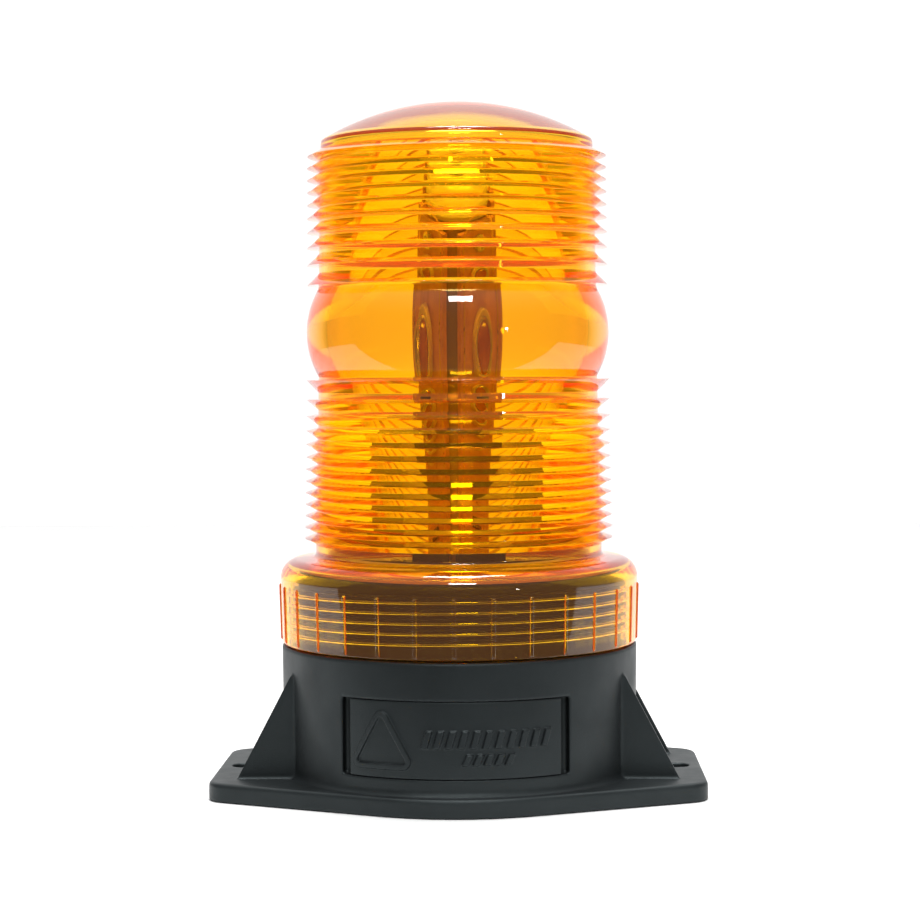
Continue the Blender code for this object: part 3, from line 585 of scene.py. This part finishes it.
def tip_radius(height):
    """Radius of the tooth tips, which lie on a slight cone."""
    upper, lower = fresnel_tips()
    share = (upper[-1] - height) / (upper[-1] - lower[-1])
    return TIP_RADIUS_TOP + (TIP_RADIUS_BOTTOM - TIP_RADIUS_TOP) * share


def bullseye_arc(steps):
    """The smooth bulge between the two runs of teeth, from its top edge to its bottom edge."""
    edge_radius = tip_radius(BULLSEYE_CENTRE) - TOOTH_DEPTH
    radius = (BULLSEYE_HALF_HEIGHT**2 + BULLSEYE_BULGE**2) / (2.0 * BULLSEYE_BULGE)
    half_angle = math.asin(BULLSEYE_HALF_HEIGHT / radius)
    centre = (edge_radius + BULLSEYE_BULGE - radius, BULLSEYE_CENTRE)
    return arc(centre, radius, half_angle, -half_angle, steps)


def dome_arc(apex, radius, from_radius, to_radius, steps):
    """Points on a dome of the given radius, between two distances from the axis."""
    centre_height = apex - radius
    start = math.asin(from_radius / radius)
    end = math.asin(to_radius / radius)
    points = []
    for step in range(steps + 1):
        angle = start + (end - start) * step / steps
        points.append((radius * math.sin(angle), centre_height + radius * math.cos(angle)))
    return points


def upper_teeth():
    """Prism rings above the bullseye: a sloping facet, a tip and a riser that drops inwards."""
    upper = fresnel_tips()[0]
    points = []
    for index in range(UPPER_TEETH - 1, -1, -1):
        height = upper[index]
        facet = FACET_HEIGHT - FACET_SHRINK * index
        if index + 1 < UPPER_TEETH:
            free = upper[index + 1] - RISER_DROP * (index + 1) - height
            facet = min(facet, free - LEAST_LAND)
        valley_radius = tip_radius(height) - TOOTH_DEPTH
        points.append((valley_radius, height + facet))
        points.append((tip_radius(height), height))
        points.append((valley_radius, height - RISER_DROP * index))
    return points


def riser_rise(index):
    """How far a lower tooth's upper face rises inwards. It grows from ring to ring."""
    return min(RISER_RISE, RISER_STEP * index)


def lower_teeth():
    """Prism rings below the bullseye: both faces slope, and the rings lower down close up."""
    lower = fresnel_tips()[1]
    points = []
    for index, height in enumerate(lower):
        facet = 0.5 * FACET_HEIGHT * (1.0 + math.exp(-index / FACET_FADE))
        if index + 1 < LOWER_TEETH:
            free = height - lower[index + 1] - riser_rise(index + 1)
            facet = min(facet, free - LEAST_LAND)
        valley_radius = tip_radius(height) - TOOTH_DEPTH
        points.append((valley_radius, height + riser_rise(index)))
        points.append((tip_radius(height), height))
        points.append((valley_radius, height - facet))
    return points


def lens_outline():
    """The lens section: down the outside from the apex, then up the inside.

    Rounded runs carry end points that only give their corners a direction, and the slices drop
    what rounding made of those points. The rim's slice drops only one of six, so a small hook
    of the outline stays in the wall below the rim and crosses it.
    """
    dome = dome_arc(TOTAL_HEIGHT, DOME_RADIUS, 0.0, RIM_RADIUS, 24)
    rim_end = [(RIM_RADIUS, RIM_BOTTOM), (RIM_RADIUS - 1.0, RIM_BOTTOM - 2.0)]
    rim = rounded(dome + rim_end, RIM_ROUNDING, 5)[:-1]
    teeth = upper_teeth() + bullseye_arc(28) + lower_teeth()
    bottom_tip = fresnel_tips()[1][-1]
    teeth.append((NECK_BAND_RADIUS, bottom_tip - NECK_BAND_DROP))
    teeth = [(RIM_RADIUS, RIM_BOTTOM)] + teeth + [(NECK_BAND_RADIUS, ROOF_TOP)]
    teeth = rounded(teeth, TOOTH_ROUNDING, 3)[4:-4]
    neck_centre = (NECK_BAND_RADIUS + NECK_FILLET, ROOF_TOP + NECK_FILLET)
    collar = arc(neck_centre, NECK_FILLET, math.pi, 1.5 * math.pi, 5)
    shoulder_centre = (
        COLLAR_RADIUS_HIGH - SHOULDER_RADIUS,
        ROOF_TOP - SHOULDER_DROP - SHOULDER_RADIUS,
    )
    collar += arc(shoulder_centre, SHOULDER_RADIUS, math.radians(88.0), 0.0, 14)
    skirt = [
        (COLLAR_RADIUS_HIGH, COLLAR_WALL_TOP),
        (COLLAR_RADIUS_LOW, LENS_BOTTOM),
        (COLLAR_BORE_RADIUS, LENS_BOTTOM),
        (COLLAR_BORE_RADIUS, COLLAR_WALL_TOP),
    ]
    collar += rounded(skirt, COLLAR_ROUNDING, 3)[4:-4]
    roof_centre = (COLLAR_BORE_RADIUS - BORE_FILLET, SHOULDER_UNDERSIDE - BORE_FILLET)
    inside = arc(roof_centre, BORE_FILLET, 0.0, math.pi / 2, 4)
    bore_centre = (LENS_BORE_LOW + BORE_FILLET, SHOULDER_UNDERSIDE + BORE_FILLET)
    inside += arc(bore_centre, BORE_FILLET, 1.5 * math.pi, math.pi, 4)
    ceiling = dome_arc(TOTAL_HEIGHT - DOME_WALL, DOME_INNER_RADIUS, LENS_BORE_HIGH, 0.0, 20)
    inside += rounded([(LENS_BORE_LOW, LENS_BORE_START)] + ceiling, DOME_CORNER, 4)[5:]
    return rim + teeth + collar + inside


def add_thread(builder, base_radius, crest_radius, start, turns):
    """Sweep a rounded ridge along a right-hand helix. Both ends sink into the wall."""
    total = round(turns * THREAD_STEPS)
    layers = []
    for step in range(total + 1):
        angle = 2.0 * math.pi * (step + 0.5) / THREAD_STEPS
        height = start + THREAD_PITCH * step / THREAD_STEPS
        fade = min(1.0, step / THREAD_FADE_STEPS, (total - step) / THREAD_FADE_STEPS)
        growth = THREAD_END_HEIGHT + (1.0 - THREAD_END_HEIGHT) * fade
        reach = (crest_radius - base_radius) * growth
        section = []
        for part in range(9):
            across = part / 8.0 * 2.0 - 1.0
            width = THREAD_BASE_WIDTH / 2.0 * across
            lift = min(1.0, THREAD_FLANK * (1.0 - abs(across)))
            section.append((base_radius + reach * lift, width))
        layers.append(
            [(r * math.cos(angle), r * math.sin(angle), height + dz) for r, dz in section]
        )
    add_layers(builder, layers)


def add_ribs(builder):
    """Shallow grip ribs round the collar, each a small rounded bar."""
    lean = COLLAR_RADIUS_HIGH - COLLAR_RADIUS_LOW
    for index in range(RIB_COUNT):
        turn = Matrix.Rotation(2.0 * math.pi * (index + 0.5) / RIB_COUNT, 3, "Z")
        layers = []
        for share, size in ((0.0, RIB_END_SIZE), (0.03, 1.0), (0.97, 1.0), (1.0, RIB_END_SIZE)):
            height = RIB_BOTTOM + (RIB_TOP - RIB_BOTTOM) * share
            base = COLLAR_RADIUS_LOW + lean * share
            section = [(base - RIB_SINK, -RIB_WIDTH / 2)]
            for part in range(9):
                angle = math.pi * part / 8
                rise = RIB_HEIGHT * size * math.sin(angle)
                section.append((base - RIB_CROWN_SINK + rise, -math.cos(angle) * RIB_WIDTH / 2))
            section.append((base - RIB_SINK, RIB_WIDTH / 2))
            layers.append([turn @ Vector((x, y, height)) for x, y in section])
        add_layers(builder, layers)


def build_lens(material):
    """The amber moulding. Weighted normals keep the facets flat next to their rounded edges."""
    builder = bmesh.new()
    add_turned(builder, lens_outline(), LENS_SEGMENTS)
    lens = new_object("lens_moulding", builder, material)
    ribs = bmesh.new()
    add_ribs(ribs)
    boolean(lens, new_object("ribs_shape", ribs), "UNION")
    thread = bmesh.new()
    start = THREAD_START - THREAD_PITCH / 2.0
    root = COLLAR_BORE_RADIUS + THREAD_SINK
    turns = THREAD_TURNS + COLLAR_EXTRA_TURNS
    add_thread(thread, root, COLLAR_CREST_RADIUS, start, turns)
    boolean(lens, new_object("collar_thread_shape", thread), "UNION")
    lens.data.set_sharp_from_angle(angle=SHARP_ANGLE)
    flat_facets = lens.modifiers.new("flat_facets", "WEIGHTED_NORMAL")
    flat_facets.weight = 100
    flat_facets.keep_sharp = True
    apply_modifiers(lens)
    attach(lens, "lens")
    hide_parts("lens")


# ---------------------------------------------------------------- base


def flange_outline(inset):
    """The flange seen from above: two ears blended into the round base, drawn in by inset."""
    corner_x = EAR_REACH - EAR_CORNER_RADIUS
    corner_y = EAR_HALF_WIDTH - EAR_CORNER_RADIUS
    round_radius = FLANGE_ROUND_RADIUS - inset
    corner_radius = EAR_CORNER_RADIUS - inset
    distance = math.hypot(corner_x, corner_y)
    bearing = math.atan2(corner_y, corner_x)
    tangent = bearing + math.acos((round_radius - corner_radius) / distance)
    quarter = arc((corner_x, corner_y), corner_radius, 0.0, tangent, 14)
    quarter += arc((0.0, 0.0), round_radius, tangent, math.pi / 2, 40)
    half = quarter + [(-x, y) for x, y in reversed(quarter[:-1])]
    return half + [(-x, -y) for x, y in half]


def add_panel_block(builder, half_angle, bottom, top, inner, outer):
    """A curved plate on the front of the base, between two radii."""
    steps = 60
    section = []
    for radius, direction in ((outer, 1), (inner, -1)):
        for step in range(steps + 1):
            angle = direction * (-half_angle + 2.0 * half_angle * step / steps)
            section.append((radius * math.sin(angle), -radius * math.cos(angle)))
    add_layers(builder, [[(x, y, z) for x, y in section] for z in (bottom, top)])


def flange_shape():
    """The flange with a rounded top edge and a small chamfer at the foot."""
    builder = bmesh.new()
    layers = [[(x, y, 0.0) for x, y in flange_outline(FLANGE_FOOT_INSET)]]
    layers.append([(x, y, FLANGE_FOOT_RISE) for x, y in flange_outline(0.0)])
    for step in range(5):
        angle = math.pi / 2 * step / 4
        inset = FLANGE_EDGE * (1.0 - math.cos(angle))
        height = FLANGE_THICKNESS - FLANGE_EDGE + FLANGE_EDGE * math.sin(angle)
        layers.append([(x, y, height) for x, y in flange_outline(inset)])
    add_layers(builder, layers)
    return new_object("flange_shape", builder)


def gusset_shapes():
    """The four triangular webs between the ears and the body."""
    builder = bmesh.new()
    half = GUSSET_THICKNESS / 2
    for side_x in (1, -1):
        for side_y in (1, -1):
            profile = [
                (GUSSET_INNER_REACH, FLANGE_THICKNESS - GUSSET_SINK),
                (GUSSET_FOOT_REACH, FLANGE_THICKNESS - GUSSET_SINK),
                (GUSSET_FOOT_REACH, FLANGE_THICKNESS + GUSSET_EDGE),
                (GUSSET_TOP_REACH + GUSSET_EDGE, GUSSET_TOP),
                (GUSSET_INNER_REACH, GUSSET_TOP),
            ]
            middle = side_y * GUSSET_OFFSET
            layers = []
            for y in (middle - half, middle + half):
                layers.append([(side_x * x, y, z) for x, z in profile])
            add_layers(builder, layers)
    return new_object("gusset_shapes", builder)


def build_housing(material):
    """The black moulding. A voxel remesh gives every edge and corner a moulded radius."""
    outline = [
        (0.0, DECK_TOP),
        (NECK_ROOT_RADIUS - BODY_EDGE, DECK_TOP),
        (NECK_ROOT_RADIUS, DECK_TOP - BODY_EDGE),
        (NECK_ROOT_RADIUS, BODY_TOP),
        (BODY_RADIUS_HIGH - BODY_EDGE, BODY_TOP),
        (BODY_RADIUS_HIGH, BODY_TOP - BODY_EDGE),
        (BODY_RADIUS_LOW, FLANGE_THICKNESS + FOOT_FILLET),
        (BODY_RADIUS_LOW + FOOT_FILLET_MIDDLE, FLANGE_THICKNESS + FOOT_FILLET_MIDDLE),
        (BODY_RADIUS_LOW + FOOT_FILLET, FLANGE_THICKNESS - FOOT_FILLET_SINK),
        (BODY_RADIUS_LOW, BODY_FLOOR),
        (0.0, BODY_FLOOR),
    ]
    builder = bmesh.new()
    add_turned(builder, outline, BASE_SEGMENTS)
    housing = new_object("base_moulding", builder, material)
    boolean(housing, flange_shape(), "UNION")
    boolean(housing, gusset_shapes(), "UNION")
    cavity = bmesh.new()
    cavity_outline = [
        (0.0, DECK_UNDERSIDE),
        (CAVITY_NECK_RADIUS, DECK_UNDERSIDE),
        (CAVITY_NECK_RADIUS, BODY_TOP - CAVITY_STEP_TOP),
        (CAVITY_RADIUS, BODY_TOP - CAVITY_STEP_BOTTOM),
        (CAVITY_RADIUS, -CUT_PAST),
        (0.0, -CUT_PAST),
    ]
    add_turned(cavity, cavity_outline, 192)
    boolean(housing, new_object("cavity_shape", cavity), "DIFFERENCE")
    cuts = bmesh.new()
    pocket_outer = BODY_RADIUS_HIGH + POCKET_OUTER_PAST
    add_panel_block(
        cuts, PANEL_HALF_ANGLE, PANEL_BOTTOM, PANEL_TOP, PANEL_FLOOR_RADIUS, pocket_outer
    )
    half_run = (SLOT_LENGTH - SLOT_WIDTH) / 2
    for side in (1, -1):
        right = arc((half_run, 0.0), SLOT_WIDTH / 2, -math.pi / 2, math.pi / 2, 20)
        outline = right + [(-x, -y) for x, y in right]
        moved = [(x + side * SLOT_CENTRE, y) for x, y in outline]
        ends = (-CUT_PAST, FLANGE_THICKNESS + CUT_PAST)
        add_layers(cuts, [[(x, y, z) for x, y in moved] for z in ends])
    deck_hole = [
        (0.0, DECK_TOP + CUT_PAST),
        (DECK_HOLE_RADIUS, DECK_TOP + CUT_PAST),
        (DECK_HOLE_RADIUS, DECK_UNDERSIDE - CUT_PAST),
        (0.0, DECK_UNDERSIDE - CUT_PAST),
    ]
    add_turned(cuts, deck_hole, 48)
    boolean(housing, new_object("cut_shapes", cuts), "DIFFERENCE")
    remesh = housing.modifiers.new("moulded_edges", "REMESH")
    remesh.mode = "VOXEL"
    remesh.voxel_size = HOUSING_VOXEL * MM
    smooth = housing.modifiers.new("relax", "SMOOTH")
    smooth.iterations = 1
    thin = housing.modifiers.new("thin", "DECIMATE")
    thin.ratio = HOUSING_FACES_KEPT
    apply_modifiers(housing)
    housing.data.materials.clear()
    housing.data.materials.append(material)
    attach(housing, "base")
    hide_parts("base_housing")

    thread = bmesh.new()
    root = NECK_ROOT_RADIUS - THREAD_SINK
    add_thread(thread, root, NECK_CREST_RADIUS, THREAD_START, THREAD_TURNS)
    neck_thread = new_object("neck_thread", thread, material)
    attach(neck_thread, "base")


def rounded_triangle(size, corner_radius):
    """An upright triangle with round corners. Its long sides are split so that they can bend."""
    points = []
    for index in range(3):
        facing = math.radians(90.0 + 120.0 * index)
        centre = (size * math.cos(facing), size * math.sin(facing))
        sweep = math.radians(60.0)
        points.extend(arc(centre, corner_radius, facing - sweep, facing + sweep, 8))
    dense = []
    for index, (x, y) in enumerate(points):
        next_x, next_y = points[(index + 1) % len(points)]
        pieces = 8 if math.hypot(next_x - x, next_y - y) > BADGE_LONG_SIDE else 1
        for piece in range(pieces):
            share = piece / pieces
            dense.append((x + (next_x - x) * share, y + (next_y - y) * share))
    return dense


def add_triangle_badge(builder, across, height):
    """A raised triangle outline, bent onto the label."""
    outer = rounded_triangle(BADGE_SIZE, BADGE_OUTER_CORNER)
    inner = rounded_triangle(BADGE_SIZE, BADGE_INNER_CORNER)
    low, high = PANEL_FACE_RADIUS - RELIEF_SINK, PANEL_RELIEF_RADIUS
    layers = []
    for outline, radius in ((outer, low), (outer, high), (inner, high), (inner, low)):
        layers.append([wrap_on_body(across + x, height + y, radius) for x, y in outline])
    close_ring(builder, add_layers(builder, layers, closed_ends=False))


def add_slanted_bars(builder, start, pitch, count, bottom, top):
    """A row of raised slanted bars, bent onto the label."""
    for index in range(count):
        left = start + pitch * index
        outline = [
            (left, bottom),
            (left + BAR_WIDTH, bottom),
            (left + BAR_WIDTH + BAR_SLANT, top),
            (left + BAR_SLANT, top),
        ]
        layers = []
        for radius in (PANEL_FACE_RADIUS - RELIEF_SINK, PANEL_RELIEF_RADIUS):
            layers.append([wrap_on_body(x, z, radius) for x, z in outline])
        add_layers(builder, layers)


def build_label(material):
    """The curved plate in the front pocket, with a generic raised badge and bars."""
    end_slot = PANEL_END_SLOT / PANEL_FACE_RADIUS
    builder = bmesh.new()
    add_panel_block(
        builder,
        PANEL_HALF_ANGLE - end_slot,
        PANEL_BOTTOM + LABEL_GAP,
        PANEL_TOP - LABEL_GAP,
        PANEL_FLOOR_RADIUS + LABEL_BACK_GAP,
        PANEL_FACE_RADIUS,
    )
    label = new_object("label_plate", builder, material)
    relief = bmesh.new()
    add_triangle_badge(relief, across=-17.0, height=15.3)
    add_slanted_bars(relief, start=-7.6, pitch=2.75, count=11, bottom=15.4, top=19.2)
    add_slanted_bars(relief, start=1.6, pitch=2.4, count=5, bottom=11.6, top=14.0)
    boolean(label, new_object("relief_shape", relief), "UNION")
    remesh = label.modifiers.new("moulded_edges", "REMESH")
    remesh.mode = "VOXEL"
    remesh.voxel_size = LABEL_VOXEL * MM
    smooth = label.modifiers.new("relax", "SMOOTH")
    smooth.iterations = 2
    apply_modifiers(label)
    label.data.materials.clear()
    label.data.materials.append(material)
    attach(label, "base")
    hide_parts("label_insert")


# ---------------------------------------------------------------- finishes on CAD nodes


def dress_nodes():
    """Give every CAD node that stays its finished material."""
    steel = brushed_metal("zinc_steel_look", (0.72, 0.72, 0.7), 0.28, (1.0, 1.0, 8.0))
    aluminium = brushed_metal("aluminium_look", (0.42, 0.32, 0.25), 0.35, (14.0, 14.0, 0.6))
    laminate = solder_mask("laminate_look", (0.92, 0.46, 0.34), (0.76, 0.36, 0.26))
    green_mask = solder_mask("green_mask_look", (0.03, 0.2, 0.08), (0.02, 0.14, 0.06))
    black_part = mottled("black_part_look", (0.03, 0.03, 0.032), (0.02, 0.02, 0.022), 0.4)
    looks = {
        "lens_gasket": mottled("silicone_look", (0.9, 0.34, 0.12), (0.78, 0.27, 0.09), 0.45),
        "bottom_cover": moulded_black("cover_look", 0.04),
        "cable_grommet": mottled("rubber_look", (0.022, 0.022, 0.022), (0.03, 0.03, 0.03), 0.62),
        "driver_board": green_mask,
        "inductor": mottled("winding_look", (0.5, 0.2, 0.07), (0.3, 0.1, 0.03), 0.3, 900.0, 0.8),
        "supply_terminal": mottled("terminal_look", (0.03, 0.25, 0.1), (0.02, 0.18, 0.07), 0.4),
        "led_header": mottled("header_look", (0.7, 0.68, 0.6), (0.6, 0.58, 0.5), 0.45),
        "led_lead_plus": mottled("red_lead_look", (0.5, 0.03, 0.02), (0.4, 0.02, 0.02), 0.4),
        "tower_core": aluminium,
        "tower_cap": mottled("cap_look", (0.9, 0.88, 0.82), (0.82, 0.8, 0.74), 0.35),
        "deck_reflector": mottled("reflector_look", (0.9, 0.87, 0.82), (0.84, 0.81, 0.76), 0.6),
    }
    for name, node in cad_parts.items():
        if name in looks:
            look = looks[name]
        elif "screw" in name:
            look = steel
        elif name.startswith("led_board"):
            look = laminate
        elif name in ("led_1", "led_2", "led_3", "led_4"):
            look = None
        else:
            look = black_part
        if look:
            for slot in node.material_slots:
                slot.material = look


def seat_on_tower(centre, reach, height):
    """Where a flat part lies on a tower face: its own Z points outwards, its own Y up."""
    outward = Vector((centre.x, centre.y, 0.0)).normalized()
    turn = outward.to_track_quat("Z", "Y").to_matrix().to_4x4()
    return Matrix.Translation(outward * reach * MM + Vector((0, 0, height))) @ turn


def build_emitters():
    """Domed emitters with the phosphor patch seen through clear resin."""
    resin = mottled(
        "emitter_resin_look", (1.0, 0.97, 0.9), (0.98, 0.95, 0.88), 0.05, transmission=1.0
    )
    phosphor = mottled("phosphor_look", (0.8, 0.2, 0.05), (0.62, 0.12, 0.03), 0.4, 900.0)
    package = mottled("package_look", (1.0, 0.86, 0.5), (0.92, 0.76, 0.42), 0.3)
    body = [
        (0.0, 0.55),
        (2.2, 0.55),
        (2.2, 0.95),
        (2.6, 0.95),
        (2.7, 0.85),
        (2.7, 0.0),
        (0.0, 0.0),
    ]
    dome = [(0.0, 3.05)]
    dome += arc((0.0, 0.9), EMITTER_DOME_RADIUS, math.radians(84), 0.0, 14)
    dome += [(EMITTER_DOME_RADIUS, 0.6), (0.0, 0.6)]
    patch = [(0.0, 0.72), (1.1, 0.72), (1.2, 0.62), (0.0, 0.62)]
    for index in range(4):
        node = f"led_{index + 1}"
        low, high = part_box(node)
        centre = (low + high) / 2
        seat = seat_on_tower(centre, EMITTER_SEAT, centre.z)
        parts = (
            (f"emitter_package_{index + 1}", body, package),
            (f"emitter_dome_{index + 1}", dome, resin),
            (f"emitter_patch_{index + 1}", patch, phosphor),
        )
        for name, outline, material in parts:
            builder = bmesh.new()
            add_turned(builder, outline, 48)
            piece = new_object(name, builder, material)
            piece.data.transform(seat)
            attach(piece, "base")
            if material is package:
                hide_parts(node)


def arch_outline(half_width, bottom, top):
    """An upright arch with a round head and small corners at the foot."""
    points = [
        (-half_width + ARCH_CORNER, bottom),
        (half_width - ARCH_CORNER, bottom),
        (half_width, bottom + ARCH_CORNER),
    ]
    points += arc((0.0, top - half_width), half_width, 0.0, math.pi, 20)
    points.append((-half_width, bottom + ARCH_CORNER))
    return points


def build_board_copper():
    """Gold-plated tracks on each board: an arch round the emitter, pads and a return track."""
    gold = brushed_metal("gold_plating_look", (0.95, 0.62, 0.2), 0.3, (1.0, 1.0, 1.0))
    for index in range(4):
        low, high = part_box(f"led_board_{index + 1}")
        lamp_low, lamp_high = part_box(f"led_{index + 1}")
        seat = seat_on_tower((low + high) / 2, BOARD_FACE, 0.0)
        lamp = (lamp_low.z + lamp_high.z) / 2 / MM

        builder = bmesh.new()
        foot, head = lamp - ARCH_DROP, lamp + ARCH_RISE
        outer, inner = [
            arch_outline(ARCH_HALF_WIDTH - inset, foot + inset, head - inset)
            for inset in (0.0, TRACK_WIDTH)
        ]
        layers = []
        for outline, lift in (
            (outer, -TRACK_SINK),
            (outer, TRACK_LIFT),
            (inner, TRACK_LIFT),
            (inner, -TRACK_SINK),
        ):
            layers.append([(x, y, lift) for x, y in outline])
        close_ring(builder, add_layers(builder, layers, closed_ends=False))
        for x, y, wide, tall in (
            (-3.6, lamp - 14.0, 1.5, 1.1),
            (3.6, lamp - 14.0, 1.5, 1.1),
            (0.0, lamp - 20.0, 0.35, 14.0),
            (-4.6, lamp - 24.0, 0.35, 18.0),
            (4.6, lamp - 24.0, 0.35, 18.0),
            (-2.6, lamp - 33.0, 1.2, 2.2),
            (2.6, lamp - 33.0, 1.2, 2.2),
        ):
            pad = [
                (x - wide / 2, y - tall / 2),
                (x + wide / 2, y - tall / 2),
                (x + wide / 2, y + tall / 2),
                (x - wide / 2, y + tall / 2),
            ]
            section = rounded(pad, PAD_CORNER, 3)
            lifts = (-TRACK_SINK, TRACK_LIFT)
            add_layers(builder, [[(a, b, lift) for a, b in section] for lift in lifts])
        copper = new_object(f"board_copper_{index + 1}", builder, gold)
        copper.data.transform(seat)
        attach(copper, "base")


# ---------------------------------------------------------------- stage, light and camera


def build_stage():
    """A pale table. Its front edge is near, so that the collar reflects the dim room there."""
    builder = bmesh.new()
    corners = (
        (-TABLE_HALF_WIDTH, TABLE_FRONT),
        (TABLE_HALF_WIDTH, TABLE_FRONT),
        (TABLE_HALF_WIDTH, TABLE_BACK),
        (-TABLE_HALF_WIDTH, TABLE_BACK),
    )
    builder.faces.new([builder.verts.new((x, y, TABLE_HEIGHT)) for x, y in corners])
    nodes = Nodes("pale_floor_look")
    paper = nodes.spread(nodes.noise(14.0, 3.0), 0.0, 1.0)
    nodes.set(
        Base_Color=nodes.blend_colours(paper, (0.87, 0.87, 0.87), (0.9, 0.9, 0.9)),
        Roughness=0.9,
        Specular_IOR_Level=0.1,
    )
    floor = new_object("pale_floor", builder, nodes.material)


def add_softbox(name, azimuth, elevation, size, power):
    """An area light that looks at the lens. Azimuth 0 is the camera's side."""
    a, e = math.radians(azimuth), math.radians(elevation)
    direction = Vector((math.sin(a) * math.cos(e), -math.cos(a) * math.cos(e), math.sin(e)))
    data = bpy.data.lights.new(name, "AREA")
    data.shape = "RECTANGLE"
    data.size, data.size_y = size
    data.energy = power
    light = bpy.data.objects.new(name, data)
    light.location = Vector(LIGHT_TARGET) + direction * LIGHT_DISTANCE
    light.rotation_mode = "QUATERNION"
    light.rotation_quaternion = direction.to_track_quat("Z", "Y")
    bpy.context.scene.collection.objects.link(light)


def add_ramp(tree, value, from_range, to_range):
    """Map a socket smoothly from one range to another."""
    node = tree.nodes.new("ShaderNodeMapRange")
    node.interpolation_type = "SMOOTHSTEP"
    for end, share in (("Min", 0), ("Max", 1)):
        node.inputs[f"From {end}"].default_value = from_range[share]
        node.inputs[f"To {end}"].default_value = to_range[share]
    tree.links.new(value, node.inputs["Value"])
    return node.outputs["Result"]


def build_light():
    """White surroundings behind and above, a dimmer room in front, and softboxes."""
    world = bpy.data.worlds.new("studio")
    world.use_nodes = True
    bpy.context.scene.world = world
    tree = world.node_tree
    background = tree.nodes["Background"]
    coords = tree.nodes.new("ShaderNodeTexCoord")
    split = tree.nodes.new("ShaderNodeSeparateXYZ")
    tree.links.new(coords.outputs["Generated"], split.inputs[0])
    behind = add_ramp(tree, split.outputs["Y"], (0.4, 0.8), (0.2, 1.12))
    overhead = add_ramp(tree, split.outputs["Z"], (0.3, 0.85), (0.0, 0.4))
    total = tree.nodes.new("ShaderNodeMath")
    tree.links.new(behind, total.inputs[0])
    tree.links.new(overhead, total.inputs[1])
    tree.links.new(total.outputs[0], background.inputs["Strength"])
    background.inputs["Color"].default_value = (1.0, 1.0, 1.0, 1.0)
    add_softbox("front_softbox", 4.5, 41.0, size=(0.33, 0.15), power=5.0)
    add_softbox("overhead_softbox", 150.0, 88.0, size=(0.46, 0.5), power=17.5)
    add_softbox("right_lamp", 38.0, 3.0, size=(0.05, 0.07), power=0.4)


def build_camera():
    """The photo's camera: level, with the lens shifted down and a slight roll."""
    data = bpy.data.cameras.new("camera")
    data.lens = FOCAL_LENGTH
    data.sensor_width = SENSOR
    data.clip_start = 0.02
    data.clip_end = 20.0
    camera = bpy.data.objects.new("camera", data)
    distance = EYE_DISTANCE * MM
    camera.location = (
        distance * math.sin(EYE_TURN),
        -distance * math.cos(EYE_TURN),
        EYE_HEIGHT * MM,
    )
    data.shift_x = SHIFT_ACROSS
    data.shift_y = -SHIFT_DOWN
    level = Matrix.Rotation(math.pi / 2, 4, "X")
    turn = Matrix.Rotation(EYE_TURN, 4, "Z")
    roll = Matrix.Rotation(-CAMERA_ROLL, 4, "Z")
    camera.rotation_mode = "QUATERNION"
    camera.rotation_quaternion = (turn @ level @ roll).to_quaternion()
    bpy.context.scene.collection.objects.link(camera)
    bpy.context.scene.camera = camera


build_camera()
build_stage()
build_light()
black = moulded_black("black_moulding_look")
build_lens(amber_polycarbonate())
build_housing(black)
build_label(moulded_black("black_label_look", -0.04))
dress_nodes()
build_emitters()
build_board_copper()
bpy.context.scene.view_settings.view_transform = "Standard"
bpy.context.scene.cycles.max_bounces = BOUNCES
bpy.context.scene.cycles.transmission_bounces = BOUNCES
bpy.context.scene.cycles.glossy_bounces = GLOSSY_BOUNCES
